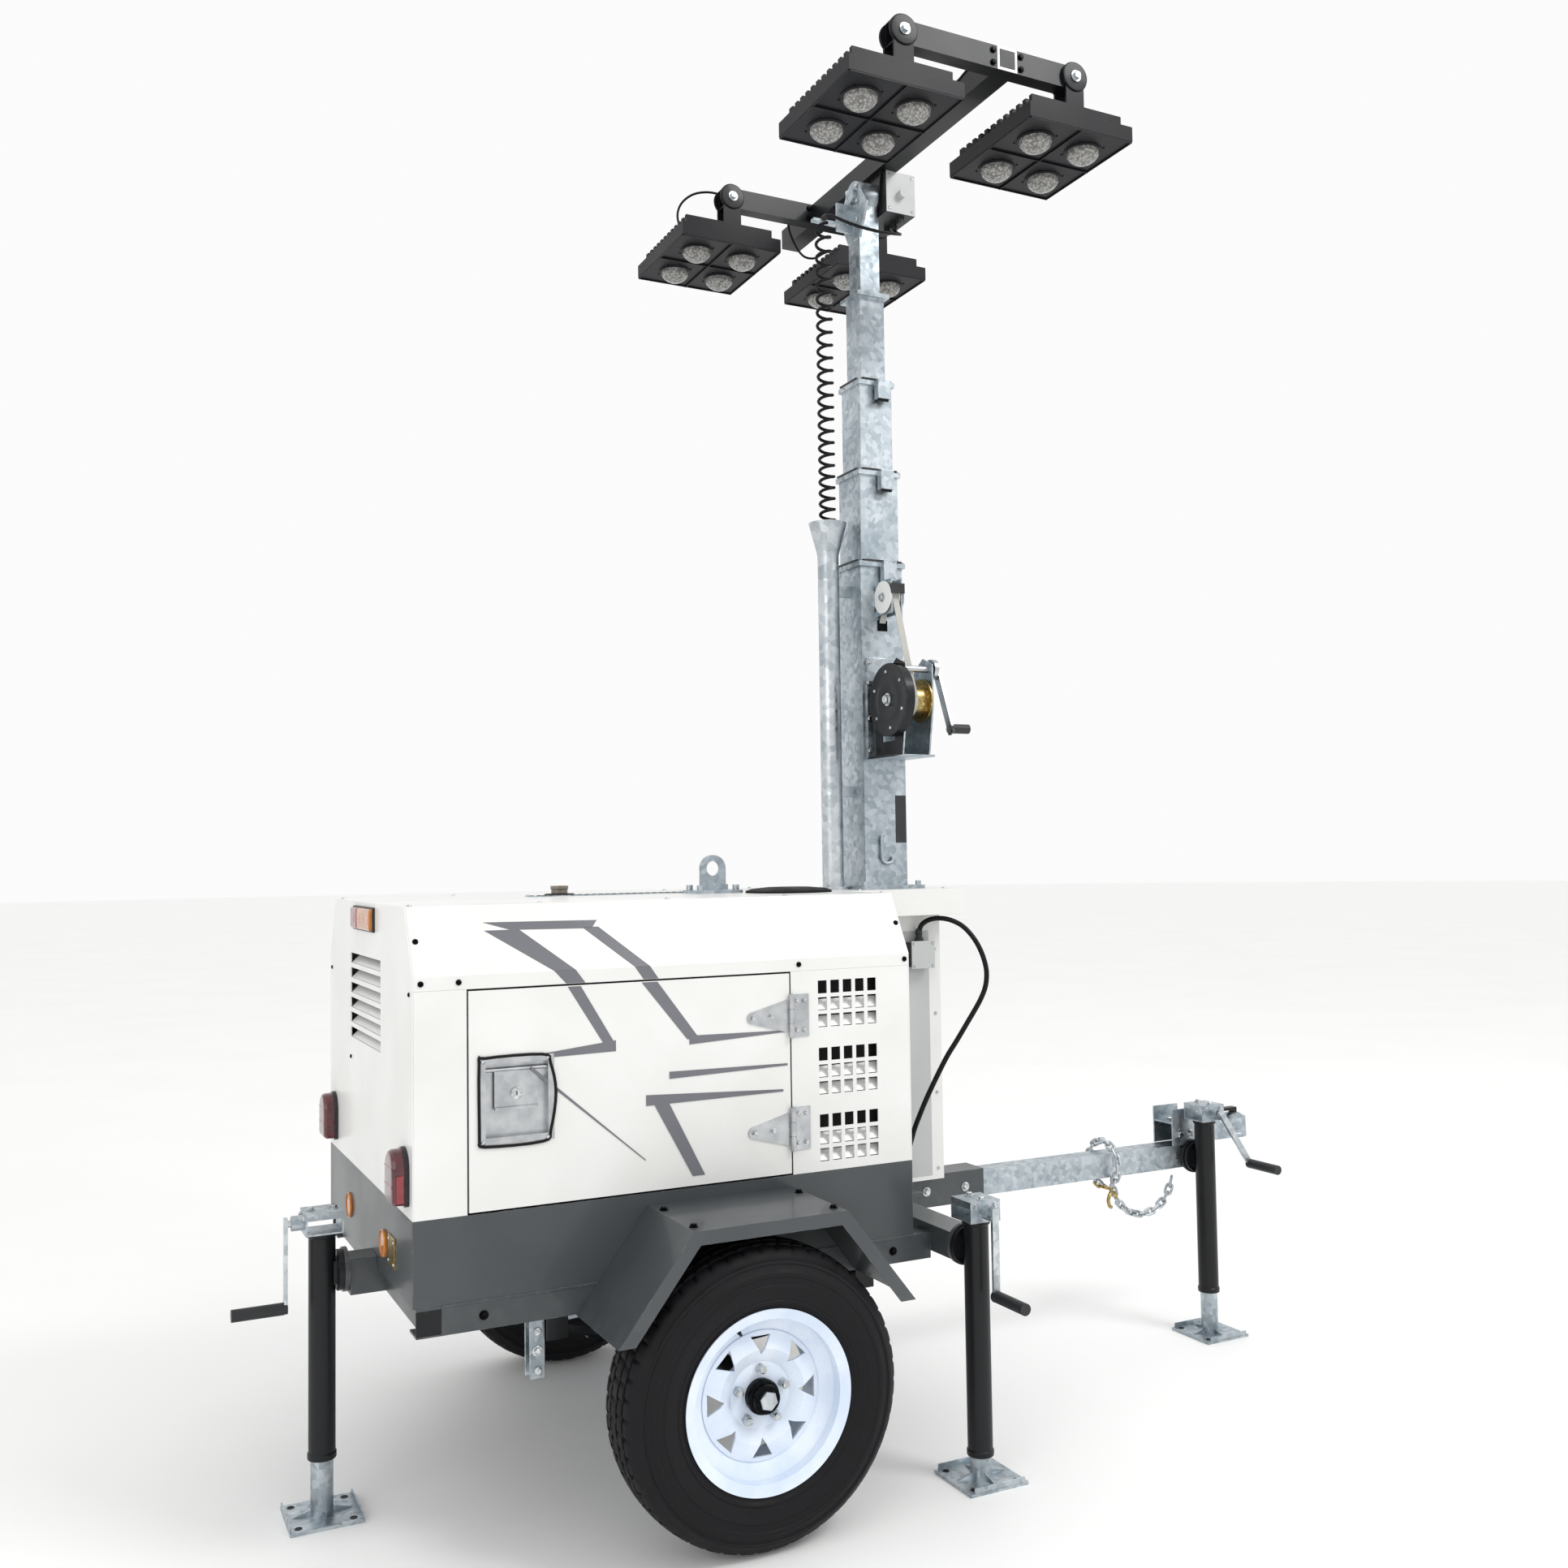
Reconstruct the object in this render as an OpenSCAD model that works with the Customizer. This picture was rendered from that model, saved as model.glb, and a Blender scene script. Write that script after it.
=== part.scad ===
// Mobile lighting tower on a single-axle trailer: a steel canopy with a generator inside,
// a winched telescopic mast with four floodlights, four screw jacks and a towing drawbar.
// Millimetres, +Z up, +X towards the drawbar. The origin lies on the ground under the middle
// of the trailer's overall length. Positions are written from the axle and shifted by middle_x.

/* [Canopy] */
// Length of the canopy
body_len = 1220; // [1000:10:1500]
// Width of the canopy
body_w = 994; // [800:2:1200]
// Distance from the axle back to the rear face of the canopy
rear_overhang = 697; // [600:1:760]
// Height of the canopy's lower edge
sill_z = 733; // [720:1:900]
// Height at which the sloping shoulder starts
shoulder_z = 1240; // [1180:1:1300]
// Height of the roof
roof_z = 1387; // [1350:1:1600]
// How far the shoulder slopes inwards
shoulder_inset = 80; // [40:1:120]
// Height of the roof's folded lip
lip_h = 30; // [20:1:40]
// Thickness of the sheet steel
sheet_t = 3; // [2:0.5:4]

/* [Doors and vents] */
// Length of each side door
door_len = 770; // [600:5:800]
// Gap around a door
door_gap = 4; // [3:0.5:6]
// Depth of the door's folded edge
door_flange = 20; // [15:1:30]
// Width of the latch pan
latch_w = 142; // [110:1:180]
// Height of the latch pan
latch_h = 160; // [120:1:190]
// Depth of the latch pan
latch_depth = 18; // [14:1:24]
// Diameter of a hinge knuckle
knuckle_d = 14; // [12:1:18]
// Diameter of a hinge pin
hinge_pin_d = 7; // [5:0.5:8]
// Height of a door hinge
hinge_h = 100; // [80:2:120]
// Width of one vent window
vent_w = 24; // [16:1:28]
// Height of one vent window
vent_h = 31; // [20:1:34]

/* [Tub and chassis] */
// Height of the tub's floor
tub_floor_z = 552; // [540:1:600]
// Width and height of a side rail
rail_size = 62; // [50:1:70]
// Outer size of the drawbar socket
socket_size = 90; // [84:1:110]
// Length of the front crossbeam, tip to tip
crossbeam_len = 1168; // [1100:2:1240]

/* [Wheels and fenders] */
// Outer diameter of a tyre
tyre_d = 650; // [600:5:680]
// Width of a tyre
tyre_w = 185; // [165:1:205]
// Distance between the tyres' outer faces
track_outer = 1540; // [1480:2:1640]
// Diameter of the rim's flange
rim_flange_d = 390; // [370:1:400]
// Diameter of the wheel spindle
spindle_d = 40; // [30:1:50]
// Height of the fender's flat top
fender_z = 706; // [700:1:720]
// Length of the fender's flat top
fender_flat = 366; // [320:2:420]
// Width over both fenders
fenders_w = 1530; // [1500:2:1640]

/* [Drawbar and coupler] */
// Outer size of the drawbar tube
bar_size = 70; // [60:1:80]
// Height of the drawbar's centre line
bar_z = 530; // [520:1:540]
// Reach of the drawbar's end ahead of the axle
bar_reach = 1905; // [1880:5:2100]
// Diameter of the tow ball that the coupler takes
tow_ball_d = 50; // [45:0.5:52]

/* [Jacks] */
// Outer diameter of a jack's tube
jack_d = 60; // [56:1:68]
// Outer diameter of a jack's leg
leg_d = 50; // [44:1:50]
// Side of a jack's square foot
foot_size = 160; // [120:2:170]
// Length of a jack's crank arm
crank_len = 200; // [150:5:220]
// Diameter of a jack's swivel pin
swivel_pin_d = 24; // [16:1:30]

/* [Mast] */
// Outer size of the fixed mast section
mast_1 = 135; // [130:1:140]
// Outer size of the second section
mast_2 = 123; // [120:0.5:123]
// Outer size of the third section
mast_3 = 105; // [100:1:108]
// Outer size of the top section
mast_4 = 80; // [70:1:88]
// Height of the top of the fixed section
mast_1_top = 2295; // [2200:5:2400]
// Length of a moving section
section_len = 1640; // [1400:5:1660]
// Length of each moving section that shows when the mast is down
exposed_len = 262; // [180:2:280]
// Outer diameter of the cord's guide tube
guide_d = 60; // [56:1:66]
// Outer diameter of the curly cord
coil_d = 50; // [40:1:52]

/* [Lamp head] */
// Length of the crossbeam that carries the lamps
beam_len = 1210; // [1100:10:1400]
// Size of the beam and the lamp arms
beam_size = 60; // [50:1:66]
// Height of the head's tilt axis
pivot_z = 3385; // [3380:1:3420]
// Height of the beam's centre line
beam_z = 3480; // [3475:1:3520]
// Length of a lamp housing, along the trailer
lamp_x = 320; // [280:2:340]
// Width of a lamp housing, across the trailer
lamp_y = 365; // [300:5:380]
// Diameter of a lamp's lens
lens_d = 84; // [70:1:96]

/* [Hidden] */
$fn = 48;

// Colours of the finishes
white_paint = "#EDEDEB";
grey_paint = "#3F4447";
black_paint = "#17181A";
galvanised = "#A9B4BA";
stainless = "#B9B5AD";

// Clearances
slide_gap = 0.5;
pin_gap = 0.05;
face_gap = 0.5;

// Overall frame
crank_tip = 196;
coupler_nose_len = 166;
jack_rear_x = -rear_overhang - 117;
rear_x = jack_rear_x - crank_tip;
front_x = bar_reach + coupler_nose_len;
middle_x = (rear_x + front_x) / 2;

// Canopy
body_rear = -rear_overhang;
body_front = body_rear + body_len;
half_w = body_w / 2;
lip_z = shoulder_z - lip_h;
shoulder_turn = atan2(shoulder_inset, roof_z - shoulder_z);
hinge_x = body_front - 330;
door_rear = hinge_x - door_len;
door_low = sill_z + door_gap;
door_high = lip_z - door_gap;
knuckle_r = knuckle_d / 2;
hinge_y = half_w + knuckle_r + face_gap;
hinge_leaf_t = 3;
hinge_heights = [sill_z + 108, lip_z - 104];
latch_x = door_rear + 105;
latch_z = sill_z + 236;

// Mast and head
mast_x = body_front + 195;
column_len = 348;
column_w = 190;
head_x = mast_x + 43;
head_y = -55;
mast_base_z = sill_z - 153;
collar_h = 14;
top_2 = mast_1_top + exposed_len;
top_3 = top_2 + exposed_len;
top_4 = top_3 + exposed_len;
guide_x = mast_x - 134;
winch_z = mast_1_top - 390;
winch_y = -mast_1 / 2 - 122;
winch_crank_y = winch_y - 25;
winch_crank_z = winch_z + 84;

// Chassis
rail_top = tub_floor_z;
rail_low = rail_top - rail_size;
crossbeam_x = body_front + 88;
jack_front_x = crossbeam_x;
wheel_z = tyre_d / 2;
wheel_y = track_outer / 2 - tyre_w / 2;
spring_y = half_w - rail_size / 2;
spring_half = 384;

// Jacks: x, y, turn about Z, top, lower end of the tube, swivel height, rest angle of the crank
swivel_face = 44;
swivel_pin_len = 28;
jack_rear = [jack_rear_x, -90, 180, 690, 132, 548, 0];
jack_right = [jack_front_x, -crossbeam_len / 2 - 54, -90, 660, 58, 540, 0];
jack_left = [jack_front_x, crossbeam_len / 2 + 54, 90, 660, 58, 540, 0];
jack_nose = [bar_reach - 87, -bar_size / 2 - 68, -90, 700, 129, bar_z, 34];
foot_t = 8;

// Lamps: centre x, centre y, and the beam's arm they hang from
lamp_half_gap = 257;
lamp_mid_x = mast_x - 40;
lamp_pivot_dx = 33;
lamp_right_y = -552;
lamp_left_y = 445;
arm_right_y = lamp_right_y - 88;
arm_left_y = lamp_left_y - 88;
lamp_rear_x = lamp_mid_x - lamp_half_gap;
lamp_front_x = lamp_mid_x + lamp_half_gap;
lamp_low_z = beam_z - 175;
lamp_top_z = beam_z - 105;
arm_w = 40;

// Route of the power cable, from the connector on the column round to the gland on the deck
cable_d = 14;
cable_sides = 10;
cable_route = [[792, -113, 1250], [792, -113, 1264], [797, -120, 1286], [814, -134, 1300],
    [838, -150, 1304], [864, -168, 1298], [888, -187, 1282], [906, -205, 1256],
    [919, -220, 1225], [927, -232, 1190], [929, -240, 1155], [923, -242, 1118],
    [908, -240, 1084], [887, -236, 1050], [864, -231, 1015], [838, -225, 975],
    [812, -217, 935], [790, -208, 892], [770, -198, 848], [754, -188, 808],
    [741, -177, 768], [733, -166, 735], [727, -156, 700], [720, -147, 665],
    [714, -140, 635], [712, -138, 614], [712, -138, 600]];

// ---------------------------------------------------------------- helpers

// Moves what is written from the axle into the trailer's own frame
module placed() {
    translate([-middle_x, 0, 0]) children();
}

// A box given by its lowest and highest corners
module block(low, high) {
    translate(low) cube(high - low);
}

// Extrudes a (y, z) outline along X
module along_x(x, length) {
    translate([x, 0, 0]) rotate([90, 0, 90]) linear_extrude(length) children();
}

// Extrudes an (x, z) outline along Y, from y towards +Y
module along_y(y, length) {
    translate([0, y + length, 0]) rotate([90, 0, 0]) linear_extrude(length) children();
}

module rod_x(x, y, z, length, d) {
    translate([x, y, z]) rotate([0, 90, 0]) cylinder(h = length, d = d);
}

module rod_y(x, y, z, length, d) {
    translate([x, y, z]) rotate([-90, 0, 0]) cylinder(h = length, d = d);
}

module rod_z(x, y, z, length, d) {
    translate([x, y, z]) cylinder(h = length, d = d);
}

// The right-hand side as drawn, and its mirror image on the left
module both_sides() {
    children();
    mirror([0, 1, 0]) children();
}

// A square tube standing on end
module post(x, size, wall, z0, z1) {
    difference() {
        block([x - size / 2, -size / 2, z0], [x + size / 2, size / 2, z1]);
        block([x - size / 2 + wall, -size / 2 + wall, z0 - 1], [x + size / 2 - wall, size / 2 - wall, z1 + 1]);
    }
}

// The ring round the top of a mast section, with its lug on the winch side
module collar(size, inner, z) {
    outer = size + 14;
    difference() {
        union() {
            block([mast_x - outer / 2, -outer / 2, z], [mast_x + outer / 2, outer / 2, z + collar_h]);
            block([mast_x - 8, -outer / 2 - 22, z - 42], [mast_x + 34, -outer / 2, z + collar_h]);
        }
        block([mast_x - inner / 2, -inner / 2, z - 1], [mast_x + inner / 2, inner / 2, z + collar_h + 1]);
        block([mast_x - 4, -outer / 2 - 18, z - 43], [mast_x + 30, -outer / 2, z - 6]);
        block([mast_x - size / 2, -size / 2, z - 43], [mast_x + size / 2, size / 2, z]);
    }
}

// Vector helpers and a tube swept along a list of points
function unit(v) = v / norm(v);
function tangent(p, i) = unit(p[min(i + 1, len(p) - 1)] - p[max(i - 1, 0)]);
function side_of(t) = unit(cross(t, [0.31, 0.9, 0.29]));
function ring(p, i, r, n) = let (t = tangent(p, i), a = side_of(t), b = cross(t, a))
    [for (k = [0:n - 1]) p[i] + r * (cos(360 * k / n) * a + sin(360 * k / n) * b)];

module swept_tube(p, d, n) {
    m = len(p);
    points = [for (i = [0:m - 1]) each ring(p, i, d / 2, n)];
    sides = [for (i = [0:m - 2], k = [0:n - 1])
        [i * n + k, i * n + (k + 1) % n, (i + 1) * n + (k + 1) % n, (i + 1) * n + k]];
    ends = [[for (k = [n - 1:-1:0]) k], [for (k = [0:n - 1]) (m - 1) * n + k]];
    polyhedron(points, concat([for (s = sides) [s[3], s[2], s[1], s[0]]],
        [for (e = ends) [for (k = [len(e) - 1:-1:0]) e[k]]]), convexity = 6);
}

// ---------------------------------------------------------------- canopy

// Half-width outline of the roof, shrunk by t; base is its lowest edge
function roof_outline(t, base) = let (
        lift = t * tan(shoulder_turn / 2),
        inset = shoulder_inset + t * tan((90 - shoulder_turn) / 2),
        w = half_w - t)
    [[-w, base], [-w, shoulder_z - lift], [-half_w + inset, roof_z - t],
     [half_w - inset, roof_z - t], [w, shoulder_z - lift], [w, base]];

module roof_panel() color(white_paint) placed() {
    along_x(body_rear + sheet_t, body_len - 2 * sheet_t) difference() {
        polygon(roof_outline(0, lip_z));
        polygon(roof_outline(sheet_t, lip_z - 1));
    }
}

// Rear panel with its louvred intake
grille_low = roof_z - 345;
grille_high = roof_z - 123;
louvre_count = 6;
louvre_pitch = (grille_high - grille_low) / louvre_count;

module rear_panel() color(white_paint) placed() {
    difference() {
        along_x(body_rear, sheet_t) polygon(roof_outline(0, sill_z));
        for (i = [0:louvre_count - 1]) {
            z = grille_low + i * louvre_pitch;
            block([body_rear - 1, -169, z + 5], [body_rear + sheet_t + 1, 201, z + louvre_pitch - 7]);
        }
    }
    for (i = [0:louvre_count - 1]) {
        z = grille_low + i * louvre_pitch;
        along_y(-169, 370) polygon([[body_rear + sheet_t, z + 2], [body_rear + 26, z + 24],
            [body_rear + 26, z + 27], [body_rear + sheet_t, z + 5]]);
    }
}

module front_panel() color(white_paint) placed() {
    along_x(body_front - sheet_t, sheet_t) polygon(roof_outline(0, sill_z));
}

// Fixed sheet behind the door's hinge line, with three groups of vent windows
vent_groups = [sill_z + 23, sill_z + 181, sill_z + 341];
vent_pitch_x = 34;
vent_pitch_z = 40;

module vented_sheet() {
    along_y(-half_w, sheet_t) difference() {
        translate([hinge_x + door_gap / 2, sill_z])
            square([body_front - sheet_t - hinge_x - door_gap / 2, lip_z - sill_z]);
        for (z = vent_groups, i = [0:4], k = [0:2])
            translate([hinge_x + 75 + i * vent_pitch_x, z + k * vent_pitch_z]) square([vent_w, vent_h]);
    }
    // Folded edge behind the hinges and the corner post
    block([hinge_x + 20, -half_w + sheet_t, sill_z], [hinge_x + 20 + sheet_t, -half_w + 30, lip_z]);
    block([body_rear + sheet_t, -half_w, sill_z], [door_rear - door_gap, -half_w + sheet_t, lip_z]);
    block([door_rear - door_gap - 30, -half_w + sheet_t, sill_z],
        [door_rear - door_gap - 30 + sheet_t, -half_w + 30, lip_z]);
}

module side_panels() color(white_paint) placed() both_sides() vented_sheet();

// The leaves, outer knuckles and pins that stay on the canopy
module fixed_hinge(z) {
    third = hinge_h / 3;
    y = -hinge_y;
    block([hinge_x + 4, -half_w - hinge_leaf_t, z - hinge_h / 2], [hinge_x + 48, -half_w, z - third / 2]);
    block([hinge_x + 4, -half_w - hinge_leaf_t, z + third / 2], [hinge_x + 48, -half_w, z + hinge_h / 2]);
    block([hinge_x + knuckle_r + 2, -half_w - hinge_leaf_t, z - third / 2 - 1],
        [hinge_x + 48, -half_w, z + third / 2 + 1]);
    rod_z(hinge_x, y, z - hinge_h / 2, third - 0.4, knuckle_d);
    rod_z(hinge_x, y, z + third / 2 + 0.4, third - 0.4, knuckle_d);
    rod_z(hinge_x, y, z - hinge_h / 2 - 3, hinge_h + 6, hinge_pin_d);
}

module door_hinges() color(stainless) placed() both_sides() {
    for (z = hinge_heights) fixed_hinge(z);
}

// The strap and middle knuckle that turn with the door
module strap_hinge(z) {
    third = hinge_h / 3;
    difference() {
        union() {
            along_y(-half_w - hinge_leaf_t, hinge_leaf_t) polygon([[hinge_x - 5, z - third / 2 + 0.4],
                [hinge_x - 5, z + third / 2 - 0.4], [hinge_x - 10, z + third / 2 - 0.4],
                [hinge_x - 10, z + hinge_h / 2 - 12], [hinge_x - 100, z + 14], [hinge_x - 100, z - 14],
                [hinge_x - 10, z - hinge_h / 2 + 12], [hinge_x - 10, z - third / 2 + 0.4]]);
            rod_z(hinge_x, -hinge_y, z - third / 2 + 0.4, third - 0.8, knuckle_d);
            rod_y(hinge_x - 100, -half_w - hinge_leaf_t, z, hinge_leaf_t, 28);
        }
        rod_z(hinge_x, -hinge_y, z - hinge_h, 2 * hinge_h, hinge_pin_d + 2 * pin_gap);
    }
}

module door_sheet() {
    x0 = door_rear;
    x1 = hinge_x - door_gap / 2;
    inner = -half_w + door_flange;
    difference() {
        block([x0, -half_w, door_low], [x1, inner, door_high]);
        block([x0 + sheet_t, -half_w + sheet_t, door_low + sheet_t],
            [x1 - sheet_t, inner + 1, door_high - sheet_t]);
        block([latch_x - latch_w / 2, -half_w - 1, latch_z - latch_h / 2],
            [latch_x + latch_w / 2, inner, latch_z + latch_h / 2]);
    }
    latch_pan();
    for (z = hinge_heights) strap_hinge(z);
}

// Pressed pan around the paddle
module latch_pan() {
    rim = 12;
    along_y(-half_w - 2, 2) difference() {
        translate([latch_x, latch_z]) square([latch_w + 2 * rim, latch_h + 2 * rim], center = true);
        translate([latch_x, latch_z]) square([latch_w - 2, latch_h - 2], center = true);
    }
    difference() {
        block([latch_x - latch_w / 2, -half_w - 2, latch_z - latch_h / 2],
            [latch_x + latch_w / 2, -half_w + latch_depth, latch_z + latch_h / 2]);
        block([latch_x - latch_w / 2 + 1.5, -half_w - 3, latch_z - latch_h / 2 + 1.5],
            [latch_x + latch_w / 2 - 1.5, -half_w + latch_depth - 2, latch_z + latch_h / 2 - 1.5]);
    }
}

module door_right() color(white_paint) placed() door_sheet();
module door_left() color(white_paint) placed() mirror([0, 1, 0]) door_sheet();

// Paddle handle on its pin at the pan's upper edge
paddle_w = latch_w - 46;
paddle_h = latch_h - 74;
paddle_z = latch_z + latch_h / 2 - 16;
paddle_y = -half_w + 7;

module paddle() {
    block([latch_x - paddle_w / 2, paddle_y - 2, paddle_z - paddle_h],
        [latch_x + paddle_w / 2, paddle_y + 2, paddle_z]);
    rod_x(latch_x - latch_w / 2 + 2, paddle_y, paddle_z, latch_w - 4, 8);
    rod_y(latch_x, paddle_y - 6, paddle_z - paddle_h * 0.6, 6, 18);
    block([latch_x - paddle_w / 2, paddle_y - 8, paddle_z - paddle_h],
        [latch_x + paddle_w / 2, paddle_y - 2, paddle_z - paddle_h + 6]);
}

module latch_right() color(stainless) placed() paddle();
module latch_left() color(stainless) placed() mirror([0, 1, 0]) paddle();

// Roof plate over the mast column
cap_reach = 383;
cap_w = 344;
cap_skirt = 72;

module mast_cap() color(white_paint) placed() {
    x1 = body_front + cap_reach;
    difference() {
        block([body_front, -cap_w / 2, roof_z - cap_skirt], [x1, cap_w / 2, roof_z]);
        block([body_front - 1, -cap_w / 2 + sheet_t, roof_z - cap_skirt - 1],
            [x1 - sheet_t, cap_w / 2 - sheet_t, roof_z - sheet_t]);
        block([mast_x - mast_1 / 2 - 1, -mast_1 / 2 - 1, roof_z - 10],
            [mast_x + mast_1 / 2 + 1, mast_1 / 2 + 1, roof_z + 1]);
    }
}

// Folded steel column that the mast stands in, with the cable connector on its side
connector_x = mast_x + 74;
column_base = bar_z + socket_size / 2;

module mast_column() color(white_paint) placed() {
    x1 = body_front + column_len;
    wall = 4;
    difference() {
        block([body_front, -column_w / 2, column_base], [x1, column_w / 2, roof_z - sheet_t]);
        block([body_front + wall, -column_w / 2 + wall, column_base + wall],
            [x1 - wall, column_w / 2 - wall, roof_z + 1]);
    }
    // Connector and the gland on its top
    block([connector_x - 34, -column_w / 2 - 36, 1170], [connector_x + 34, -column_w / 2, 1238]);
    rod_z(792, -113, 1238, 12, 24);
}

// ---------------------------------------------------------------- tub and chassis

module lower_tub() color(grey_paint) placed() {
    difference() {
        block([body_rear, -half_w, tub_floor_z], [body_front, half_w, sill_z]);
        block([body_rear + sheet_t, -half_w + sheet_t, tub_floor_z + sheet_t],
            [body_front - sheet_t, half_w - sheet_t, sill_z + 1]);
    }
}

// Open channel rail along X, open towards the middle
module rail() {
    wall = 5;
    difference() {
        block([body_rear + 7, -half_w, rail_low], [crossbeam_x - 40, -half_w + rail_size, rail_top]);
        block([body_rear + 6, -half_w + wall, rail_low + wall],
            [crossbeam_x - 39, -half_w + rail_size + 1, rail_top - wall]);
    }
}

// Round plate and arm that a jack turns against; the bore is cut from all the steel behind it
module swivel_seat(jack, reach) {
    translate([jack[0], jack[1], jack[5]]) rotate([0, 0, jack[2]]) {
        rod_x(-swivel_face - face_gap - 10, 0, 0, 10, 100);
        block([-swivel_face - face_gap - reach, -38, -30], [-swivel_face - face_gap - 9, 38, 30]);
    }
}

module swivel_bore(jack) {
    translate([jack[0], jack[1], jack[5]]) rotate([0, 0, jack[2]])
        rod_x(-swivel_face - swivel_pin_len - 1, 0, 0, swivel_pin_len + 2, swivel_pin_d + 2 * pin_gap);
}

module chassis_frame() color(grey_paint) placed() difference() {
    union() {
        chassis_steel();
        swivel_seat(jack_right, 12);
        swivel_seat(jack_left, 12);
        swivel_seat(jack_rear, 72);
        // Bracket from the rear crossmember out to the rear jack
        block([body_rear - 60, jack_rear[1] - 38, rail_low + 6], [body_rear + 21, jack_rear[1] + 38, rail_top]);
    }
    swivel_bore(jack_right);
    swivel_bore(jack_left);
    swivel_bore(jack_rear);
}

module chassis_steel() {
    both_sides() rail();
    // Crossmembers under the tub
    for (x = [body_rear + 20, -spring_half - 25, spring_half - 25])
        block([x, -half_w + rail_size, rail_low + 6], [x + 50, half_w - rail_size, rail_top]);
    // Front crossbeam that the two side jacks hang on
    block([crossbeam_x - 40, -crossbeam_len / 2, 508], [crossbeam_x + 40, crossbeam_len / 2, 572]);
    // Deck in front of the canopy and the drawbar socket
    block([body_front, -300, rail_top], [crossbeam_x - 40, 300, rail_top + 8]);
    block([crossbeam_x + 40, -160, rail_top], [crossbeam_x + 150, -socket_size / 2, rail_top + 8]);
    block([crossbeam_x + 40, socket_size / 2, rail_top], [crossbeam_x + 150, 160, rail_top + 8]);
    difference() {
        block([body_front, -socket_size / 2, bar_z - socket_size / 2],
            [body_front + 514, socket_size / 2, bar_z + socket_size / 2]);
        block([body_front + 190, -bar_size / 2, bar_z - bar_size / 2],
            [body_front + 515, bar_size / 2, bar_z + bar_size / 2]);
    }
    // Backbone from the socket to the crossmember in front of the axle
    block([spring_half + 24, -socket_size / 2, rail_low + 6], [body_front, socket_size / 2, rail_top]);
    // Cable gland on the deck
    rod_z(712, -138, rail_top + 8, 40, 26);
}

// One spring leaf: a shallow arc of flat steel
function leaf_line(reach, rise, z) = [for (i = [-8:8]) [reach * i / 8, z + rise * (i / 8) * (i / 8)]];
module leaf(reach, rise, z, t) {
    line = leaf_line(reach, rise, z);
    upper = [for (i = [len(line) - 1:-1:0]) line[i] + [0, t]];
    along_y(-spring_y - 25, 50) polygon(concat(line, upper));
}

// Axle beam, spindles, leaf springs and their hangers
module axle() color(black_paint) placed() {
    brake_y = wheel_y - 80;
    rod_y(0, -brake_y, wheel_z, 2 * brake_y, 60);
    both_sides() {
        rod_y(0, -wheel_y - 20, wheel_z, 100, spindle_d);
        for (i = [0:3]) leaf(spring_half - 70 * i, 74 - 21 * i, wheel_z + 63 - 8 * i, 7.5);
        // Clamp plates and bolts at the middle of the springs
        block([-55, -spring_y - 38, wheel_z + 28], [55, -spring_y + 38, wheel_z + 39]);
        block([-30, -spring_y - 30, wheel_z - 40], [30, -spring_y + 30, wheel_z - 29]);
        for (x = [-38, 38], y = [-32, 32]) rod_z(x, -spring_y + y, wheel_z + 10, 60, 12);
        // Hangers at the rails
        for (x = [-spring_half, spring_half]) {
            rod_y(x, -spring_y - 30, wheel_z + 141, 60, 34);
            block([x - 24, -spring_y - 30, wheel_z + 118], [x + 24, -spring_y - 25.5, rail_low]);
            block([x - 24, -spring_y + 25.5, wheel_z + 118], [x + 24, -spring_y + 30, rail_low]);
        }
    }
}

// Three flat plates folded over each wheel, with a lip along the outer edge
fender_run = 170;
fender_drop = 217;
fender_middle = 10;
fender_lip = 30;
fender_turn = atan2(fender_drop, fender_run);

// The fender's inner outline, t inside its outer one
function fender_inside(t) = let (
        x0 = fender_middle - fender_flat / 2,
        x1 = fender_middle + fender_flat / 2,
        foot = t / sin(fender_turn),
        bend = t * tan(fender_turn / 2),
        low = fender_z - fender_drop)
    [[x1 + fender_run - foot, low], [x1 - bend, fender_z - t], [x0 + bend, fender_z - t],
     [x0 - fender_run + foot, low]];

module fender() {
    outer = [for (i = [3:-1:0]) fender_inside(0)[i]];
    along_y(-fenders_w / 2, fenders_w / 2 - half_w) polygon(concat(outer, fender_inside(sheet_t)));
    along_y(-fenders_w / 2, sheet_t) polygon(concat(outer, fender_inside(fender_lip)));
}

module fenders() color(grey_paint) placed() both_sides() fender();

// ---------------------------------------------------------------- drawbar and coupler

module drawbar() color(galvanised) placed() {
    x0 = body_front + 200;
    wall = 5;
    difference() {
        union() {
            block([x0, -bar_size / 2, bar_z - bar_size / 2], [bar_reach, bar_size / 2, bar_z + bar_size / 2]);
            swivel_seat(jack_nose, 68 - swivel_face - face_gap);
        }
        block([x0 - 1, -bar_size / 2 + wall, bar_z - bar_size / 2 + wall],
            [bar_reach + 1, bar_size / 2 - wall, bar_z + bar_size / 2 - wall]);
        swivel_bore(jack_nose);
    }
}

// Pressed coupler bolted on top of the bar, with the cup for the tow ball at its nose
cup_x = bar_reach + coupler_nose_len - 40;
cup_r = 40;
cup_low = bar_z + bar_size / 2;

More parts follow.
